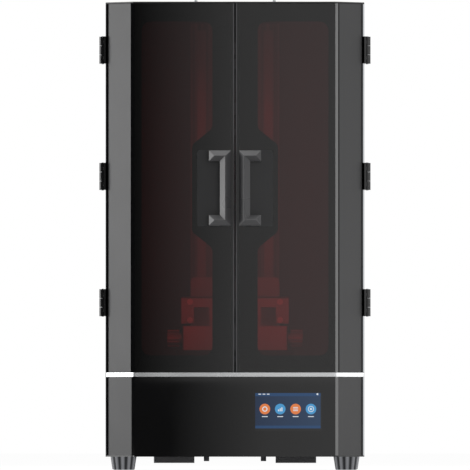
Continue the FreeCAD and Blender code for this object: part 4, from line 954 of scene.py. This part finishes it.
class PRINTER_OT_screen(bpy.types.Operator):
    """Draws the picture on the touch screen: a plain menu of round icons with no words"""

    bl_idname = "printer.screen"
    bl_label = "Screen picture"

    def execute(self, context):
        look = context.scene.printer_screen
        dress(["touch_screen"], surface("glass_display_black"))
        depth = node_box("touch_screen")[0][1] - look.lift
        left, right = look.left, look.left + look.width
        bottom, top = look.bottom, look.bottom + look.height
        head = top - look.bar_height
        tray = bottom + look.bar_height * 0.7
        ground = [bar(left, right, bottom, top, depth)]
        blue = lit_pixels("screen_ground", look.ground, 1.0, look.ground_right)
        self.layer("screen_ground_picture", ground, blue)
        depth -= look.lift / 2
        bars = [bar(left, right, head, top, depth), bar(left, right, bottom, tray, depth)]
        self.layer("screen_bars", bars, lit_pixels("screen_header", look.header, 1.0))
        r = look.icon_radius
        middle = (left + right) / 2
        row = (head + tray) / 2 + 0.35 * r
        places = middle + np.array([-1.5, -0.5, 0.5, 1.5]) * (look.width * 0.235)
        discs = [disc(x, row, depth, r) for x in places]
        self.layer("screen_warm_icons", discs[0::2], lit_pixels("screen_warm", look.warm, 1.0))
        self.layer("screen_cool_icons", discs[1::2], lit_pixels("screen_cool", look.cool, 1.0))
        depth -= look.lift / 2
        marks = self.glyphs(places, row, r, depth)
        marks += [bar(x - 0.55 * r, x + 0.55 * r, row - 1.5 * r, row - 1.35 * r, depth) for x in places]
        line = (head + top) / 2
        for step in range(3):
            x = left + (0.6 + 0.8 * step) * r
            marks.append(bar(x, x + 0.5 * r, line - 0.08 * r, line + 0.08 * r, depth))
        marks.append(disc(right - 0.6 * r, line, depth, 0.18 * r, 24))
        self.layer("screen_marks", marks, lit_pixels("screen_pale", look.glyph, 0.85))
        return {"FINISHED"}

    def layer(self, name, shapes, material):
        """One flat layer of the picture."""
        put(name, *joined(shapes), material, "chassis")

    def glyphs(self, places, row, r, depth):
        """A ring, a rising row of bars, a stack of lines and a target, one for each icon."""
        ring_x, bars_x, lines_x, target_x = places
        shapes = [loop(ring_x, row, depth, 0.5 * r, 0.32 * r)]
        for step in (-1, 0, 1):
            x = bars_x + 0.32 * r * step
            peak = row + (0.12 + 0.2 * step) * r
            shapes.append(bar(x - 0.1 * r, x + 0.1 * r, row - 0.42 * r, peak, depth))
            z = row + 0.3 * r * step
            shapes.append(bar(lines_x - 0.45 * r, lines_x + 0.45 * r, z - 0.07 * r, z + 0.07 * r, depth))
        shapes.append(disc(target_x, row, depth, 0.2 * r, 24))
        shapes.append(loop(target_x, row, depth, 0.56 * r, 0.44 * r))
        return shapes


class PRINTER_OT_stage(bpy.types.Operator):
    """Makes the floor, the light, the reflecting card and the camera"""

    bl_idname = "printer.stage"
    bl_label = "Stage"

    def execute(self, context):
        scene = context.scene
        look = scene.printer_stage
        scene.view_settings.view_transform = "Standard"
        self.world(scene, look)
        self.floor(look)
        self.card(look)
        self.flag(look)
        for name, (place, size) in FREE_LAMPS.items():
            self.lamp(name + "_lamp", place, LAMP_AIM, getattr(look, name + "_light"), size)
        deck = Vector((0.0, 0.0, float(node_box("deck_plate")[1][2])))
        self.lamp("right_strip", deck + STRIP_PLACE, deck + STRIP_AIM, look.strip_light, STRIP_SIZE)
        front = float(node_box("left_door_window")[0][1])
        inside = Vector((0.0, front, 0.0)) + CHAMBER_PLACE
        back = inside + Vector((0.0, 1.0, 0.0))
        self.lamp("chamber_lamp", inside, back, look.chamber_light, CHAMBER_SIZE)
        self.camera(scene, look, front)
        return {"FINISHED"}

    def camera(self, scene, look, front):
        """A far, low camera with a long lens, aimed at the middle of the frame."""
        lens = bpy.data.cameras.new("photo_camera")
        lens.sensor_width = 36.0
        lens.lens = lens.sensor_width * look.camera_distance / look.frame_width
        lens.clip_end = CLIP_END
        eye = bpy.data.objects.new("photo_camera", lens)
        scene.collection.objects.link(eye)
        eye.location = (0.0, front - look.camera_distance, look.camera_height)
        aim = Vector((0.0, front, look.frame_width / 2)) - eye.location
        eye.rotation_euler = aim.to_track_quat("-Z", "Y").to_euler()
        scene.camera = eye

    def lamp(self, name, place, target, power, size):
        """A soft rectangular lamp aimed at a point."""
        light = bpy.data.lights.new(name, "AREA")
        light.shape = "RECTANGLE"
        light.energy = power
        light.size, light.size_y = size
        lamp = bpy.data.objects.new(name, light)
        bpy.context.scene.collection.objects.link(lamp)
        lamp.location = place
        lamp.rotation_euler = (Vector(target) - Vector(place)).to_track_quat("-Z", "Y").to_euler()
        lamp.visible_camera = False

    def seen(self, tree):
        """One for what the camera sees, straight or in mirrors and glass, and zero for other light."""
        path = add(tree, "LightPath").outputs
        shiny = maths(tree, "MAXIMUM", path["Is Glossy Ray"], path["Is Transmission Ray"])
        return maths(tree, "MAXIMUM", path["Is Camera Ray"], shiny)

    def world(self, scene, look):
        """White for the camera and for mirrors and glass, and a grey fill on matt surfaces."""
        world = bpy.data.worlds.new("studio")
        scene.world = world
        world.use_nodes = True
        tree = world.node_tree
        tree.nodes.clear()
        glow = ranged(tree, self.seen(tree), look.fill, 1.0)
        sky = add(tree, "Background", {"Color": WHITE, "Strength": glow})
        add(tree, "OutputWorld", {"Surface": sky.outputs["Background"]})

    def floor(self, look):
        """A pale floor that is nearly white to the camera but keeps a soft part of the shadow."""
        material, tree = fresh("floor_pale")
        part = maths(tree, "MULTIPLY", self.seen(tree), FLOOR_SHARE)
        matt = add(tree, "BsdfDiffuse", {"Color": look.floor_paint}).outputs["BSDF"]
        white = add(tree, "Emission", {"Color": WHITE, "Strength": FLOOR_GLOW})
        close(tree, mixed(tree, part, matt, white.outputs["Emission"]))
        points, faces = bar(-FLOOR_REACH, FLOOR_REACH, FLOOR_REACH, -FLOOR_REACH, 0)
        link("floor", points[:, [0, 2, 1]], [faces[:, ::-1]], material)

    def card(self, look):
        """A soft card before the front, dark at its left and bright at its right, that the panels mirror.

        Below the deck's height the same shading starts further right, as it does on the base.
        """
        material, tree = fresh("card_graded")
        deck = float(node_box("deck_plate")[0][2])
        below = maths(tree, "LESS_THAN", along(tree, "Z"), deck)
        across = maths(tree, "MULTIPLY_ADD", below, -look.card_step, along(tree, "X"))
        share = ranged(tree, across, 0.0, 1.0, -look.card_span, look.card_span)
        high = (look.card_middle + 2 * look.card_right) / 3
        stops = [(0.06, look.card_left), (0.475, look.card_middle), (0.75, high), (1.0, look.card_right)]
        stops = [(position, (glow, glow, glow, 1.0)) for position, glow in stops]
        light = {"Color": ramp(tree, share, stops), "Strength": ranged(tree, below, 1.0, look.card_low)}
        close(tree, add(tree, "Emission", light).outputs["Emission"])
        points, faces = bar(-CARD_REACH, CARD_REACH, *WALL_SPAN, -CARD_FRONT)
        card = link("front_card", points, [faces[:, ::-1]], material)
        card.visible_camera = False
        card.visible_shadow = False

    def flag(self, look):
        """Dark walls before and behind the left lamp, seen only in mirrors, that keep the left edges dark.

        Each is a strip carried along a path in plan.
        """
        material, tree = fresh("flag_dark")
        tint = (look.flag, look.flag, look.flag, 1.0)
        close(tree, add(tree, "Emission", {"Color": tint}).outputs["Emission"])
        heights = np.array(WALL_SPAN)[:, None]
        for name, path in FLAG_PATHS.items():
            plan = np.array(path)
            points = [plan[:, 0] + 0 * heights, plan[:, 1] + 0 * heights, heights + 0 * plan[:, 0]]
            wall = link(name, np.stack(points, -1), [quads(2, len(plan))[:-1]], material)
            for ray in ("camera", "shadow", "diffuse"):
                setattr(wall, "visible_" + ray, False)


class PRINTER_PT_panel(bpy.types.Panel):
    """Lists the steps that dress the printer"""

    bl_idname = "PRINTER_PT_panel"
    bl_label = "Resin printer"
    bl_space_type = "VIEW_3D"
    bl_region_type = "UI"
    bl_category = "Resin printer"

    def draw(self, context):
        for operator in OPERATORS:
            self.layout.operator(operator.bl_idname)
        for name in GROUPS:
            group = getattr(context.scene, name)
            box = self.layout.box()
            for key in group.__annotations__:
                box.prop(group, key)


OPERATORS = (
    PRINTER_OT_housing,
    PRINTER_OT_doors,
    PRINTER_OT_lift,
    PRINTER_OT_inside,
    PRINTER_OT_thread,
    PRINTER_OT_feet,
    PRINTER_OT_edges,
    PRINTER_OT_lips,
    PRINTER_OT_fasteners,
    PRINTER_OT_screen,
    PRINTER_OT_stage,
)
GROUPS = {
    "printer_finish": PrinterFinish,
    "printer_screen": PrinterScreen,
    "printer_thread": PrinterThread,
    "printer_fasteners": PrinterFasteners,
    "printer_lips": PrinterLips,
    "printer_feet": PrinterFeet,
    "printer_edges": PrinterEdges,
    "printer_stage": PrinterStage,
}


def register():
    """Registers the property groups, the operators and the panel."""
    for name, group in GROUPS.items():
        bpy.utils.register_class(group)
        setattr(bpy.types.Scene, name, bpy.props.PointerProperty(type=group))
    for cls in OPERATORS + (PRINTER_PT_panel,):
        bpy.utils.register_class(cls)


def unregister():
    """Takes the classes and the scene's groups away again."""
    for cls in reversed(OPERATORS + (PRINTER_PT_panel,)):
        bpy.utils.unregister_class(cls)
    for name, group in GROUPS.items():
        delattr(bpy.types.Scene, name)
        bpy.utils.unregister_class(group)


def main():
    """Dresses the printer step by step."""
    register()
    for operator in OPERATORS:
        group, step = operator.bl_idname.split(".")
        getattr(getattr(bpy.ops, group), step)()


if __name__ == "__main__":
    main()
